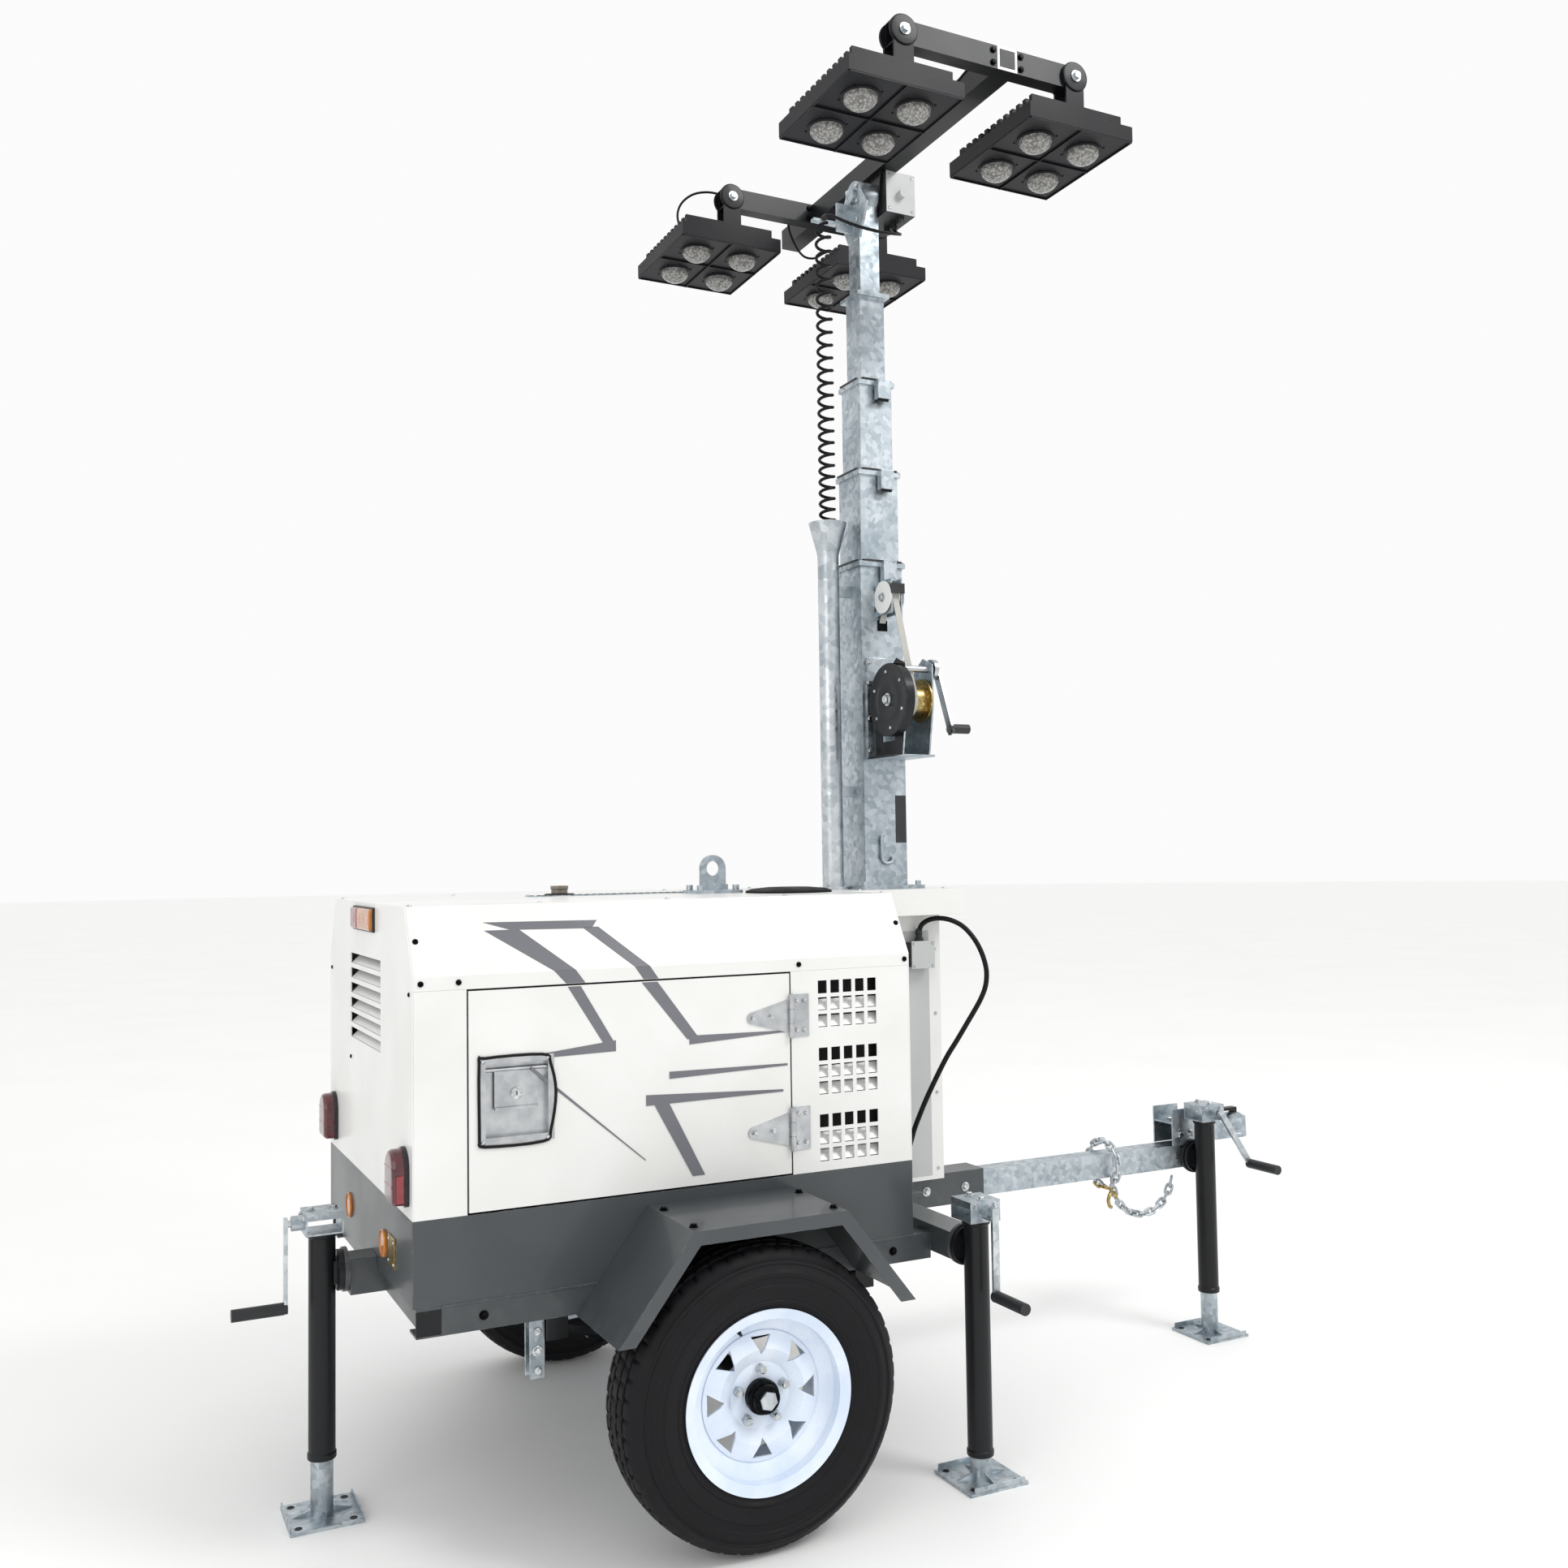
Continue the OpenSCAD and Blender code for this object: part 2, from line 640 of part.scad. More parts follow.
module coupler() color(galvanised) placed() {
    x0 = bar_reach - 162;
    difference() {
        union() {
            block([x0, -45, cup_low], [bar_reach - 5, 45, cup_low + 72]);
            block([x0, -45, cup_low], [x0 + 96, -40, cup_low + 112]);
            block([x0, 40, cup_low], [x0 + 96, 45, cup_low + 112]);
            block([bar_reach - 5, -32, cup_low], [cup_x, 32, cup_low + 62]);
            rod_z(cup_x, 0, cup_low, 62, 2 * cup_r);
        }
        block([x0 - 1, -40, cup_low - 1], [bar_reach - 10, 40, cup_low + 67]);
        rod_z(cup_x, 0, cup_low - 1, 45, tow_ball_d + 0.8);
    }
    // Ears for the latch pin
    for (y = [-20, 14]) block([bar_reach + 28, y, cup_low + 62], [bar_reach + 58, y + 6, cup_low + 92]);
    rod_y(bar_reach + 43, -22, cup_low + 80, 44, 10);
}

module coupler_latch() color(black_paint) placed() {
    x = bar_reach + 43;
    z = cup_low + 80;
    difference() {
        union() {
            rod_y(x, -13.5, z, 27, 22);
            block([x, -12, z + 2], [x + 90, 12, z + 11]);
            block([x + 78, -12, z - 14], [x + 90, 12, z + 11]);
        }
        rod_y(x, -14.5, z, 29, 10 + 2 * pin_gap);
    }
}

// One oval chain link lying in the (x, z) plane, its long way along x
link_wire = 8;
link_half = 13;
link_r = 9;
module link() {
    for (s = [-1, 1]) {
        translate([s * (link_half - link_r + link_wire / 2), 0, 0]) rotate([90, s * 90, 0])
            rotate_extrude(angle = 180, $fn = 24) translate([link_r, 0]) circle(d = link_wire, $fn = 16);
        translate([0, 0, s * link_r]) rotate([0, 90, 0])
            cylinder(h = 2 * (link_half - link_r) + link_wire, d = link_wire, center = true, $fn = 16);
    }
}

link_pitch = 2 * (link_half - link_r) + link_wire + 2 * link_r - link_wire - 1;

// A run of links along a round arc in the (x, z) plane
module chain_arc(radius, from, to) {
    step = 2 * asin(link_pitch / 2 / radius);
    count = floor((to - from) / step);
    for (i = [0:count]) {
        a = from + i * step;
        translate([radius * cos(a), 0, radius * sin(a)]) rotate([0, 90 - a, 0])
            rotate([i % 2 == 0 ? 45 : -45, 0, 0]) link();
    }
}

chain_x = bar_reach - 400;

// Chain wrapped once round the bar, with a loop that hangs below it and a hook
module safety_chain() color(galvanised) placed() {
    translate([chain_x, 0, bar_z]) rotate([0, 0, 90]) chain_arc(68, -90, 245);
    translate([chain_x + 150, 0, bar_z - bar_size / 2 - 16]) chain_arc(118, 186, 352);
    translate([chain_x + 8, -30, bar_z - 104]) rotate([90, 0, 20]) rotate_extrude(angle = 250, $fn = 32)
        translate([22, 0]) circle(d = 11, $fn = 16);
}

// ---------------------------------------------------------------- lamps and fittings on the canopy

module rear_lamps() color("#5A2030") placed() {
    both_sides() along_x(body_rear - 36, 36) {
        translate([-470, sill_z + 25]) square([90, 75]);
        translate([-425, sill_z + 100]) circle(d = 90);
    }
    block([body_rear - 14, -106, roof_z - 68], [body_rear, 139, roof_z - 10]);
}

eye_x = body_front - 308;
eye_hole_d = 40;
filler_x = body_front - 140;

module roof_fittings() color(galvanised) placed() {
    block([eye_x - 66, -50, roof_z], [eye_x + 66, 50, roof_z + 8]);
    along_y(-7, 14) difference() {
        union() {
            translate([eye_x - 36, roof_z + 8]) square([72, 50]);
            translate([eye_x, roof_z + 66]) circle(d = 72);
        }
        translate([eye_x, roof_z + 66]) circle(d = eye_hole_d);
    }
    for (x = [-52, 52], y = [-36, 36]) rod_z(eye_x + x, y, roof_z + 8, 14, 18);
    // Low rubber cap over the filler
    translate([filler_x, -120, roof_z]) rotate_extrude($fn = 64)
        polygon([[0, 0], [115, 0], [115, 5], [100, 10], [60, 14], [0, 15]]);
}

// ---------------------------------------------------------------- inside the canopy

engine_x = body_front - 1000;
shaft_z = sill_z + 150;

module engine() color("#4A4F52") placed() {
    x = engine_x;
    // Mounting skids, sump, block, head, rocker cover
    for (y = [-190, 150]) block([x, y, tub_floor_z + sheet_t], [x + 470, y + 40, 640]);
    block([x + 40, -110, 640], [x + 400, 110, 700]);
    block([x + 20, -190, 640], [x + 60, 190, 660]);
    block([x + 380, -190, 640], [x + 420, 190, 660]);
    block([x + 20, -140, 700], [x + 420, 140, 940]);
    block([x + 30, -120, 940], [x + 410, 110, 1040]);
    block([x + 50, -70, 1040], [x + 390, 60, 1085]);
    // Flywheel housing at the front and the fan at the back
    rod_x(x + 420, 0, shaft_z, 50, 350);
    rod_x(x - 30, 0, 940, 50, 60);
    rod_x(x - 30, 0, 800, 50, 120);
    difference() {
        rod_x(x - 52, 0, 940, 22, 340);
        for (i = [0:5]) translate([x - 53, 0, 940]) rotate([60 * i, 0, 0])
            translate([0, 40, 8]) cube([24, 140, 60]);
    }
    // Injection pipes, air filter and exhaust manifold
    for (i = [0:3]) rod_z(x + 80 + 90 * i, -60, 1085, 22, 18);
    rod_x(x + 60, -215, 1000, 260, 130);
    block([x + 140, -165, 950], [x + 200, -139, 1050]);
    block([x + 60, 110, 960], [x + 380, 150, 1010]);
    rod_z(x + 340, 130, 1010, 170, 44);
}

module alternator() color("#6A7075") placed() {
    x = engine_x + 470;
    rod_x(x, 0, shaft_z, 330, 330);
    rod_x(x + 330, 0, shaft_z, 40, 280);
    block([x + 60, -110, shaft_z + 150], [x + 250, 110, shaft_z + 240]);
    for (y = [-150, 110]) block([x + 60, y, 706], [x + 260, y + 40, 800]);
}

module radiator() color(black_paint) placed() {
    x = body_rear + 70;
    difference() {
        block([x, -270, 760], [x + 70, 270, 1290]);
        for (i = [0:11]) block([x - 1, -240, 790 + 40 * i], [x + 18, 240, 800 + 40 * i]);
    }
    rod_z(x + 35, 120, 1290, 20, 50);
    for (y = [-250, 210]) block([x, y, tub_floor_z + sheet_t], [x + 70, y + 40, 760]);
}

module muffler() color("#7C7A76") placed() {
    x = engine_x + 340;
    rod_y(x, -200, 1255, 400, 150);
    rod_y(x, 200, 1255, 60, 44);
}

module fuel_tank() color("#202224") placed() {
    x1 = body_front - 20;
    block([x1 - 400, -440, tub_floor_z + sheet_t], [x1, 440, 706]);
    rod_z(x1 - 60, -380, 706, 20, 70);
}

module panel_and_battery() color("#8C9296") placed() {
    // Control panel on the left side, carried by the vented sheet
    x = hinge_x + 60;
    block([x, half_w - 150, 840], [x + 230, half_w - sheet_t, 1160]);
    for (i = [0:3]) block([x - 14, half_w - 138 + 32 * i, 1080], [x, half_w - 116 + 32 * i, 1130]);
    block([x - 8, half_w - 130, 980], [x, half_w - 30, 1050]);
    rod_x(x - 16, half_w - 80, 920, 16, 40);
    // Starter battery in the tub
    bx = body_rear + 180;
    block([bx, -430, tub_floor_z + sheet_t], [bx + 240, -260, 760]);
    for (dx = [40, 200]) rod_z(bx + dx, -290, 760, 16, 18);
}

// ---------------------------------------------------------------- mast

module mast_section_1() color(galvanised) placed() {
    inner = mast_2 + 2 * slide_gap;
    post(mast_x, mast_1, 4, mast_base_z, mast_1_top);
    collar(mast_1, inner, mast_1_top);
    // Foot in the column and flange on the cap
    difference() {
        block([mast_x - 90, -90, mast_base_z - 1], [mast_x + 90, 90, mast_base_z + 8]);
        block([mast_x - 30, -30, mast_base_z - 2], [mast_x + 30, 30, mast_base_z + 9]);
    }
    difference() {
        block([mast_x - 90, -100, roof_z], [mast_x + 105, 100, roof_z + 10]);
        block([mast_x - mast_1 / 2, -mast_1 / 2, roof_z - 1], [mast_x + mast_1 / 2, mast_1 / 2, roof_z + 11]);
    }
    for (x = [-78, 92], y = [-85, 85]) rod_z(mast_x + x, y, roof_z + 10, 12, 16);
    // Cheeks of the pulley block
    y0 = -mast_1 / 2;
    for (x = [mast_x - 18, mast_x + 14]) block([x, y0 - 82, mast_1_top - 142], [x + 4, y0, mast_1_top - 46]);
    rod_x(mast_x - 18, y0 - 42, mast_1_top - 94, 36, 16);
    // Tie-down hook
    rod_z(mast_x - 18, y0 - 8, roof_z + 90, 60, 9);
    rod_y(mast_x - 18, y0 - 8, roof_z + 146, 9, 9);
    translate([mast_x, y0 - 8, roof_z + 90]) rotate([90, 0, 0]) rotate([0, 0, 180])
        rotate_extrude(angle = 180, $fn = 32) translate([18, 0]) circle(d = 9, $fn = 16);
}

// A moving section of the mast: a square tube with its collar at the top
module moving_section(size, wall, inner, top) {
    post(mast_x, size, wall, top - section_len, top);
    collar(size, inner, top);
}

module mast_section_2() color(galvanised) placed()
    moving_section(mast_2, 3.5, mast_3 + 2 * slide_gap, top_2);

module mast_section_3() color(galvanised) placed()
    moving_section(mast_3, 3, mast_4 + 2 * slide_gap, top_3);

// Top section with the welded head: post, pivot boss and gussets
module mast_section_4() color(galvanised) placed() {
    neck = 64;
    boss_d = 90;
    difference() {
        union() {
            block([mast_x - mast_4 / 2, -mast_4 / 2, top_4 - section_len], [mast_x + mast_4 / 2, mast_4 / 2, top_4]);
            block([mast_x - mast_4 / 2 - 12, -mast_4 / 2 - 12, top_4], [mast_x + mast_4 / 2 + 12, mast_4 / 2 + 12, top_4 + 12]);
            block([mast_x - neck / 2, -neck / 2, top_4 + 12], [mast_x + neck / 2, neck / 2, pivot_z - 60]);
            block([mast_x - neck / 2, -neck / 2, pivot_z - 60], [mast_x + 27, neck / 2, pivot_z - 20]);
            rod_x(mast_x - 34, 0, pivot_z, 61, boss_d);
            along_x(mast_x - 34, 8) polygon([[-32, pivot_z - 130], [-80, pivot_z - 40], [-45, pivot_z + 10],
                [45, pivot_z + 10], [80, pivot_z - 40], [32, pivot_z - 130]]);
            block([mast_x - 90, -4, pivot_z - 110], [mast_x - 34, 4, pivot_z - 28]);
        }
        block([mast_x - mast_4 / 2 + 3, -mast_4 / 2 + 3, top_4 - section_len - 1],
            [mast_x + mast_4 / 2 - 3, mast_4 / 2 - 3, top_4 - 3]);
        block([mast_x - neck / 2 + 3, -neck / 2 + 3, top_4 + 12], [mast_x + neck / 2 - 3, neck / 2 - 3, pivot_z - 63]);
        rod_x(mast_x - 40, 0, pivot_z, 80, 24 + 2 * pin_gap);
    }
    // Bracket that holds the upper end of the curly cord
    block([guide_x - 34, -10, pivot_z - 95], [mast_x - 90, 10, pivot_z - 87]);
}

guide_low = roof_z;
guide_top = mast_1_top + 35;

module guide_tube() color(galvanised) placed() {
    wall = 2;
    funnel_h = 92;
    difference() {
        union() {
            rod_z(guide_x, 0, guide_low, guide_top - guide_low, guide_d);
            translate([guide_x, 0, guide_top]) cylinder(h = funnel_h, d1 = guide_d, d2 = 108);
            rod_z(guide_x, 0, guide_low, 8, guide_d + 20);
            for (z = [roof_z + 260, mast_1_top - 80])
                block([guide_x + guide_d / 2 - 6, -12, z], [mast_x - mast_1 / 2, 12, z + 30]);
        }
        rod_z(guide_x, 0, guide_low + 5, guide_top, guide_d - 2 * wall);
        translate([guide_x, 0, guide_top]) cylinder(h = funnel_h + 0.1, d1 = guide_d - 2 * wall, d2 = 104);
    }
}

coil_low = roof_z + 13;
coil_high = pivot_z - 95;

module coil_cord() color(black_paint) placed() rod_z(guide_x, 0, coil_low, coil_high - coil_low, coil_d);

module power_cable() color(black_paint) placed() swept_tube(cable_route, cable_d, cable_sides);

// ---------------------------------------------------------------- winch

winch_pin_d = 18;

module winch_frame() color(galvanised) placed() {
    y0 = -mast_1 / 2;
    x0 = mast_x - 32;
    x1 = mast_x + 52;
    difference() {
        union() {
            block([x0 - 24, y0 - 6, winch_z - 150], [x1 + 20, y0, winch_z + 130]);
            block([x0 - 24, y0 - 150, winch_z - 156], [x1 + 20, y0, winch_z - 150]);
            for (x = [x0, x1]) along_x(x, 5) polygon([[y0 - 6, winch_z - 150], [y0 - 150, winch_z - 150],
                [y0 - 172, winch_z - 20], [y0 - 172, winch_z + 96], [y0 - 125, winch_z + 116], [y0 - 60, winch_z + 70],
                [y0 - 6, winch_z + 70]]);
        }
        rod_x(x0 - 1, winch_y, winch_z, x1 - x0 + 7, winch_pin_d + 2 * pin_gap);
        rod_x(x0 - 1, winch_crank_y, winch_crank_z, x1 - x0 + 7, winch_pin_d + 2 * pin_gap);
        for (z = [-110, -70]) translate([x0 - 1, y0 - 110, winch_z + z]) cube([7, 60, 16]);
    }
    // Round gear cover on the outside of the left cheek
    difference() {
        rod_x(x0 - 26, winch_y, winch_z, 25.5, 200);
        rod_x(x0 - 22, winch_y, winch_z, 22, 192);
        rod_x(x0 - 27, winch_crank_y, winch_crank_z, 27, 40);
    }
}

// Drum with its flanges, gear wheel and a few turns of webbing
module winch_drum() color(galvanised) placed() {
    x0 = mast_x - 32;
    x1 = mast_x + 52;
    rod_x(x0 - 18, winch_y, winch_z, x1 - x0 + 28, winch_pin_d);
    rod_x(x0 + 8, winch_y, winch_z, 4, 120);
    rod_x(x0 + 12, winch_y, winch_z, x1 - x0 - 20, 84);
    rod_x(x1 - 8, winch_y, winch_z, 4, 120);
    rod_x(x0 - 16, winch_y, winch_z, 10, 150);
}

// Pinion shaft with its brake disc, arm and grip
module winch_crank() color(stainless) placed() {
    x0 = mast_x - 32;
    x1 = mast_x + 52;
    arm = 195;
    rod_x(x0, winch_crank_y, winch_crank_z, x1 - x0 + 36, winch_pin_d);
    rod_x(x1 + 10, winch_crank_y, winch_crank_z, 14, 56);
    translate([x1 + 26, winch_crank_y, winch_crank_z]) rotate([-22, 0, 0]) {
        block([0, -12, -arm], [8, 12, 12]);
        rod_x(-2, 0, -arm + 14, 62, 26);
    }
}

module pulley_wheel() color("#D8D8D4") placed() {
    y0 = -mast_1 / 2;
    translate([mast_x - 13.5, y0 - 42, mast_1_top - 94]) rotate([0, 90, 0]) difference() {
        rotate_extrude($fn = 64) polygon([[0, 0], [36, 0], [36, 3], [28, 10], [28, 17], [36, 24], [36, 27], [0, 27]]);
        translate([0, 0, -1]) cylinder(h = 29, d = 16 + 2 * pin_gap);
    }
}

// ---------------------------------------------------------------- lamp head

module hollow_x(x0, x1, y, z, w, h, wall) {
    difference() {
        block([x0, y - w / 2, z - h / 2], [x1, y + w / 2, z + h / 2]);
        block([x0 - 1, y - w / 2 + wall, z - h / 2 + wall], [x1 + 1, y + w / 2 - wall, z + h / 2 - wall]);
    }
}

// Crossbeam, its four arms and the pivot plate
module head_beam() color(black_paint) placed() {
    half = beam_size / 2;
    y0 = head_y - beam_len / 2;
    y1 = head_y + beam_len / 2;
    rear_tip = lamp_rear_x + lamp_pivot_dx - 25;
    front_tip = lamp_front_x + lamp_pivot_dx + 25;
    wall = 3;
    difference() {
        block([head_x - half, y0, beam_z - half], [head_x + half, y1, beam_z + half]);
        block([head_x - half + wall, y0 - 1, beam_z - half + wall], [head_x + half - wall, y1 + 1, beam_z + half - wall]);
    }
    difference() {
        for (y = [arm_right_y, arm_left_y]) {
            hollow_x(rear_tip, head_x - half, y, beam_z, arm_w, beam_size, wall);
            hollow_x(head_x + half, front_tip, y, beam_z, arm_w, beam_size, wall);
        }
        for (y = [arm_right_y, arm_left_y], x = [lamp_rear_x, lamp_front_x])
            rod_y(x + lamp_pivot_dx, y - arm_w / 2 - 1, beam_z, arm_w + 2, 16 + 2 * pin_gap);
    }
    // Pivot plate and pin
    plate_x = mast_x + 27 + face_gap;
    along_x(plate_x, 10) polygon([[-40, pivot_z - 20], [-55, beam_z - half], [55, beam_z - half], [40, pivot_z - 20]]);
    rod_x(plate_x, 0, pivot_z, 10, 90);
    rod_x(mast_x - 46, 0, pivot_z, 46 + 27 + face_gap + 1, 24);
    rod_x(mast_x - 46, 0, pivot_z, 11.5, 44);
}

module junction_box() color("#5E6366") placed() {
    x0 = mast_x + 37 + face_gap;
    block([x0, -70, pivot_z - 55], [x0 + 96, 50, beam_z - beam_size / 2]);
    for (y = [-45, -10, 25]) rod_z(x0 + 60, y, pivot_z - 75, 20, 24);
    rod_y(x0 + 48, -88, pivot_z, 18, 24);
}

// A lamp hangs from the arm at arm_y; x and y are its centre
module lamp(x, y, arm_y) {
    base_h = 38;
    fins = 11;
    inset = 20;
    px = x + lamp_pivot_dx;
    difference() {
        union() {
            block([x - lamp_x / 2, y - lamp_y / 2, lamp_low_z], [x + lamp_x / 2, y + lamp_y / 2, lamp_low_z + base_h]);
            block([x - lamp_x / 2 + inset, y - lamp_y / 2 + inset, lamp_low_z + base_h],
                [x + lamp_x / 2 - inset, y + lamp_y / 2 - inset, lamp_top_z]);
        }
        for (i = [0:fins - 1]) {
            fy = y - lamp_y / 2 + inset + 12 + i * (lamp_y - 2 * inset - 16) / fins;
            block([x - lamp_x / 2 + inset - 1, fy, lamp_low_z + base_h + 8],
                [x + lamp_x / 2 - inset + 1, fy + 14, lamp_top_z + 1]);
        }
    }
    // Fork and pin that turn on the arm
    for (s = [-1, 1]) {
        ear_y = arm_y + s * (arm_w / 2 + face_gap) - (s < 0 ? 6 : 0);
        block([px - 28, ear_y, lamp_top_z - 26], [px + 28, ear_y + 6, beam_z]);
        rod_y(px, ear_y, beam_z, 6, 78);
    }
    rod_y(px, arm_y - arm_w / 2 - 14, beam_z, arm_w + 28, 16);
    // Domed lenses, each in the middle of its quarter
    lens_at = [(lamp_x - inset) / 4, (lamp_y - inset) / 4];
    for (dx = [-1, 1], dy = [-1, 1])
        translate([x + dx * lens_at[0], y + dy * lens_at[1], lamp_low_z]) rotate([180, 0, 0]) intersection() {
            translate([0, 0, -14]) sphere(d = 100, $fn = 48);
            cylinder(h = 60, d = lens_d);
        }
}

module lamp_rear_right() color(black_paint) placed() lamp(lamp_rear_x, lamp_right_y, arm_right_y);
module lamp_front_right() color(black_paint) placed() lamp(lamp_front_x, lamp_right_y, arm_right_y);
module lamp_rear_left() color(black_paint) placed() lamp(lamp_rear_x, lamp_left_y, arm_left_y);
module lamp_front_left() color(black_paint) placed() lamp(lamp_front_x, lamp_left_y, arm_left_y);

// ---------------------------------------------------------------- wheels

// Moves a wheel drawn about its own axis, with its outer face towards -Y, to its place
module on_right_hub() {
    translate([0, -wheel_y, wheel_z]) rotate([90, 0, 0]) children();
}

// Radius of the bead seat, shared by the tyre and the rim
bead_r = rim_flange_d / 2 - 17;

module tyre() {
    r = tyre_d / 2;
    h = tyre_w / 2;
    seat = bead_r;
    rotate_extrude($fn = 96) difference() {
        polygon([[seat, -h + 22], [rim_flange_d / 2, -h + 12], [seat + 50, -h], [r - 60, -h], [r - 26, -h + 12],
            [r - 6, -h + 30], [r, 0], [r - 6, h - 30], [r - 26, h - 12], [r - 60, h], [seat + 50, h],
            [rim_flange_d / 2, h - 12], [seat, h - 22]]);
        // Air chamber
        polygon([[seat - 1, -h + 40], [seat + 24, -h + 30], [seat + 52, -h + 12], [r - 66, -h + 12],
            [r - 38, -h + 22], [r - 24, -h + 38], [r - 19, 0], [r - 24, h - 38], [r - 38, h - 22],
            [r - 66, h - 12], [seat + 52, h - 12], [seat + 24, h - 30], [seat - 1, h - 40]]);
        for (z = [-42, -14, 14, 42]) translate([r - 9, z - 3]) square([12, 6]);
    }
}

// Steel wheel: barrel, dished disc with eight windows, hub with cap, five nuts
module rim() {
    seat = bead_r;
    h = tyre_w / 2;
    flange = rim_flange_d / 2;
    spindle_r = spindle_d / 2 + pin_gap;
    rotate_extrude($fn = 96) polygon([[seat, -h + 22], [flange, -h + 12], [flange, -h + 9], [seat - 6, -h + 16],
        [seat - 8, -h + 40], [seat - 40, -h + 60], [seat - 40, h - 60], [seat - 8, h - 40], [seat - 6, h - 16],
        [flange, h - 9], [flange, h - 12], [seat, h - 22], [seat - 2, h - 44], [seat - 34, h - 63],
        [seat - 34, -h + 63], [seat - 2, -h + 44]]);
    difference() {
        rotate_extrude($fn = 96) polygon([[36, 24], [36, 30], [70, 30], [100, 44], [seat - 40, 36], [seat - 40, 30],
            [100, 38], [70, 24]]);
        for (i = [0:7]) rotate([0, 0, 45 * i]) translate([0, 0, 20]) linear_extrude(40)
            polygon([[128, -24], [128, 24], [88, 0]]);
        for (i = [0:4]) rotate([0, 0, 72 * i + 90]) translate([57, 0, 15]) cylinder(h = 30, d = 14);
    }
    // Hub barrel, flange and grease cap
    difference() {
        union() {
            translate([0, 0, -70]) cylinder(h = 110, d = 72);
            translate([0, 0, 14]) cylinder(h = 10, d = 150);
            translate([0, 0, 40]) cylinder(h = 20, d = 60);
            translate([0, 0, 60]) cylinder(h = 8, d1 = 60, d2 = 44);
        }
        translate([0, 0, -71]) cylinder(h = 92, r = spindle_r);
    }
    for (i = [0:4]) rotate([0, 0, 72 * i + 90]) translate([57, 0, 24]) {
        cylinder(h = 16, d = 13.9);
        translate([0, 0, 6]) cylinder(h = 16, d = 22, $fn = 6);
    }
}

module tyre_right() color(black_paint) placed() on_right_hub() tyre();
module tyre_left() color(black_paint) placed() mirror([0, 1, 0]) on_right_hub() tyre();
module rim_right() color("#DDE6F2") placed() on_right_hub() rim();
module rim_left() color("#DDE6F2") placed() mirror([0, 1, 0]) on_right_hub() rim();

// ---------------------------------------------------------------- jacks

module at_jack(j) {
    translate([j[0], j[1], 0]) rotate([0, 0, j[2]]) children();
}

jack_bore_d = leg_d + 2 * slide_gap;
cap_h = 50;
crank_plane = 80;

// Outer tube with its square cap, screw, crank boss and swivel pin
module jack_tube(j) {
    low = j[4];
    top = j[3];
    pivot = j[5];
    difference() {
        union() {
            rod_z(0, 0, low, top - cap_h - low, jack_d);
            block([-34, -26, pivot - 26], [-jack_d / 2 + 8, 26, pivot + 26]);
            rod_x(-swivel_face, 0, pivot, 12, 92);
            rod_x(-swivel_face - swivel_pin_len, 0, pivot, swivel_pin_len + 2, swivel_pin_d);
        }
        rod_z(0, 0, low - 1, top - cap_h - low - 9, jack_bore_d);
    }
    difference() {
        union() {
            block([-42, -42, top - cap_h], [42, 42, top]);
            rod_x(40, 0, top - 25, 28, 34);
        }
        block([-38, -50, top - cap_h + 4], [38, 50, top - 46 + 30]);
        rod_x(38, 0, top - 25, 31, 16 + 2 * pin_gap);
    }
    rod_z(0, 0, low + 60, top - cap_h - 10 - low - 60, 18);
}

// Inner leg on its square foot
module jack_leg(j) {
    low = j[4];
    difference() {
        rod_z(0, 0, foot_t, low + 350 - foot_t, leg_d);
        rod_z(0, 0, foot_t + 8, low + 400, leg_d - 10);
    }
    block([-foot_size / 2, -foot_size / 2, 0], [foot_size / 2, foot_size / 2, foot_t]);
    for (a = [0:90:270]) rotate([0, 0, a]) along_y(-3, 6)
        polygon([[leg_d / 2 - 1, foot_t], [foot_size / 2 - 12, foot_t], [leg_d / 2 - 1, foot_t + 12]]);
}

// Crank on its short shaft: arm and grip
module jack_crank(j) {
    top = j[3];
    translate([0, 0, top - 25]) rotate([j[6], 0, 0]) {
        rod_x(42, 0, 0, crank_plane - 42 + 4, 16);
        block([crank_plane - 4, -9, -crank_len], [crank_plane + 4, 9, 14]);
        rod_x(crank_plane - 4, 0, -crank_len + 12, crank_tip - crank_plane + 4, 28);
    }
}

module jack_tube_rear() color(black_paint) placed() at_jack(jack_rear) jack_tube(jack_rear);
module jack_tube_right() color(black_paint) placed() at_jack(jack_right) jack_tube(jack_right);
module jack_tube_left() color(black_paint) placed() at_jack(jack_left) jack_tube(jack_left);
module jack_tube_nose() color(black_paint) placed() at_jack(jack_nose) jack_tube(jack_nose);
module jack_leg_rear() color(galvanised) placed() at_jack(jack_rear) jack_leg(jack_rear);
module jack_leg_right() color(galvanised) placed() at_jack(jack_right) jack_leg(jack_right);
module jack_leg_left() color(galvanised) placed() at_jack(jack_left) jack_leg(jack_left);
module jack_leg_nose() color(galvanised) placed() at_jack(jack_nose) jack_leg(jack_nose);
module jack_crank_rear() color(black_paint) placed() at_jack(jack_rear) jack_crank(jack_rear);
module jack_crank_right() color(black_paint) placed() at_jack(jack_right) jack_crank(jack_right);
module jack_crank_left() color(black_paint) placed() at_jack(jack_left) jack_crank(jack_left);
module jack_crank_nose() color(black_paint) placed() at_jack(jack_nose) jack_crank(jack_nose);

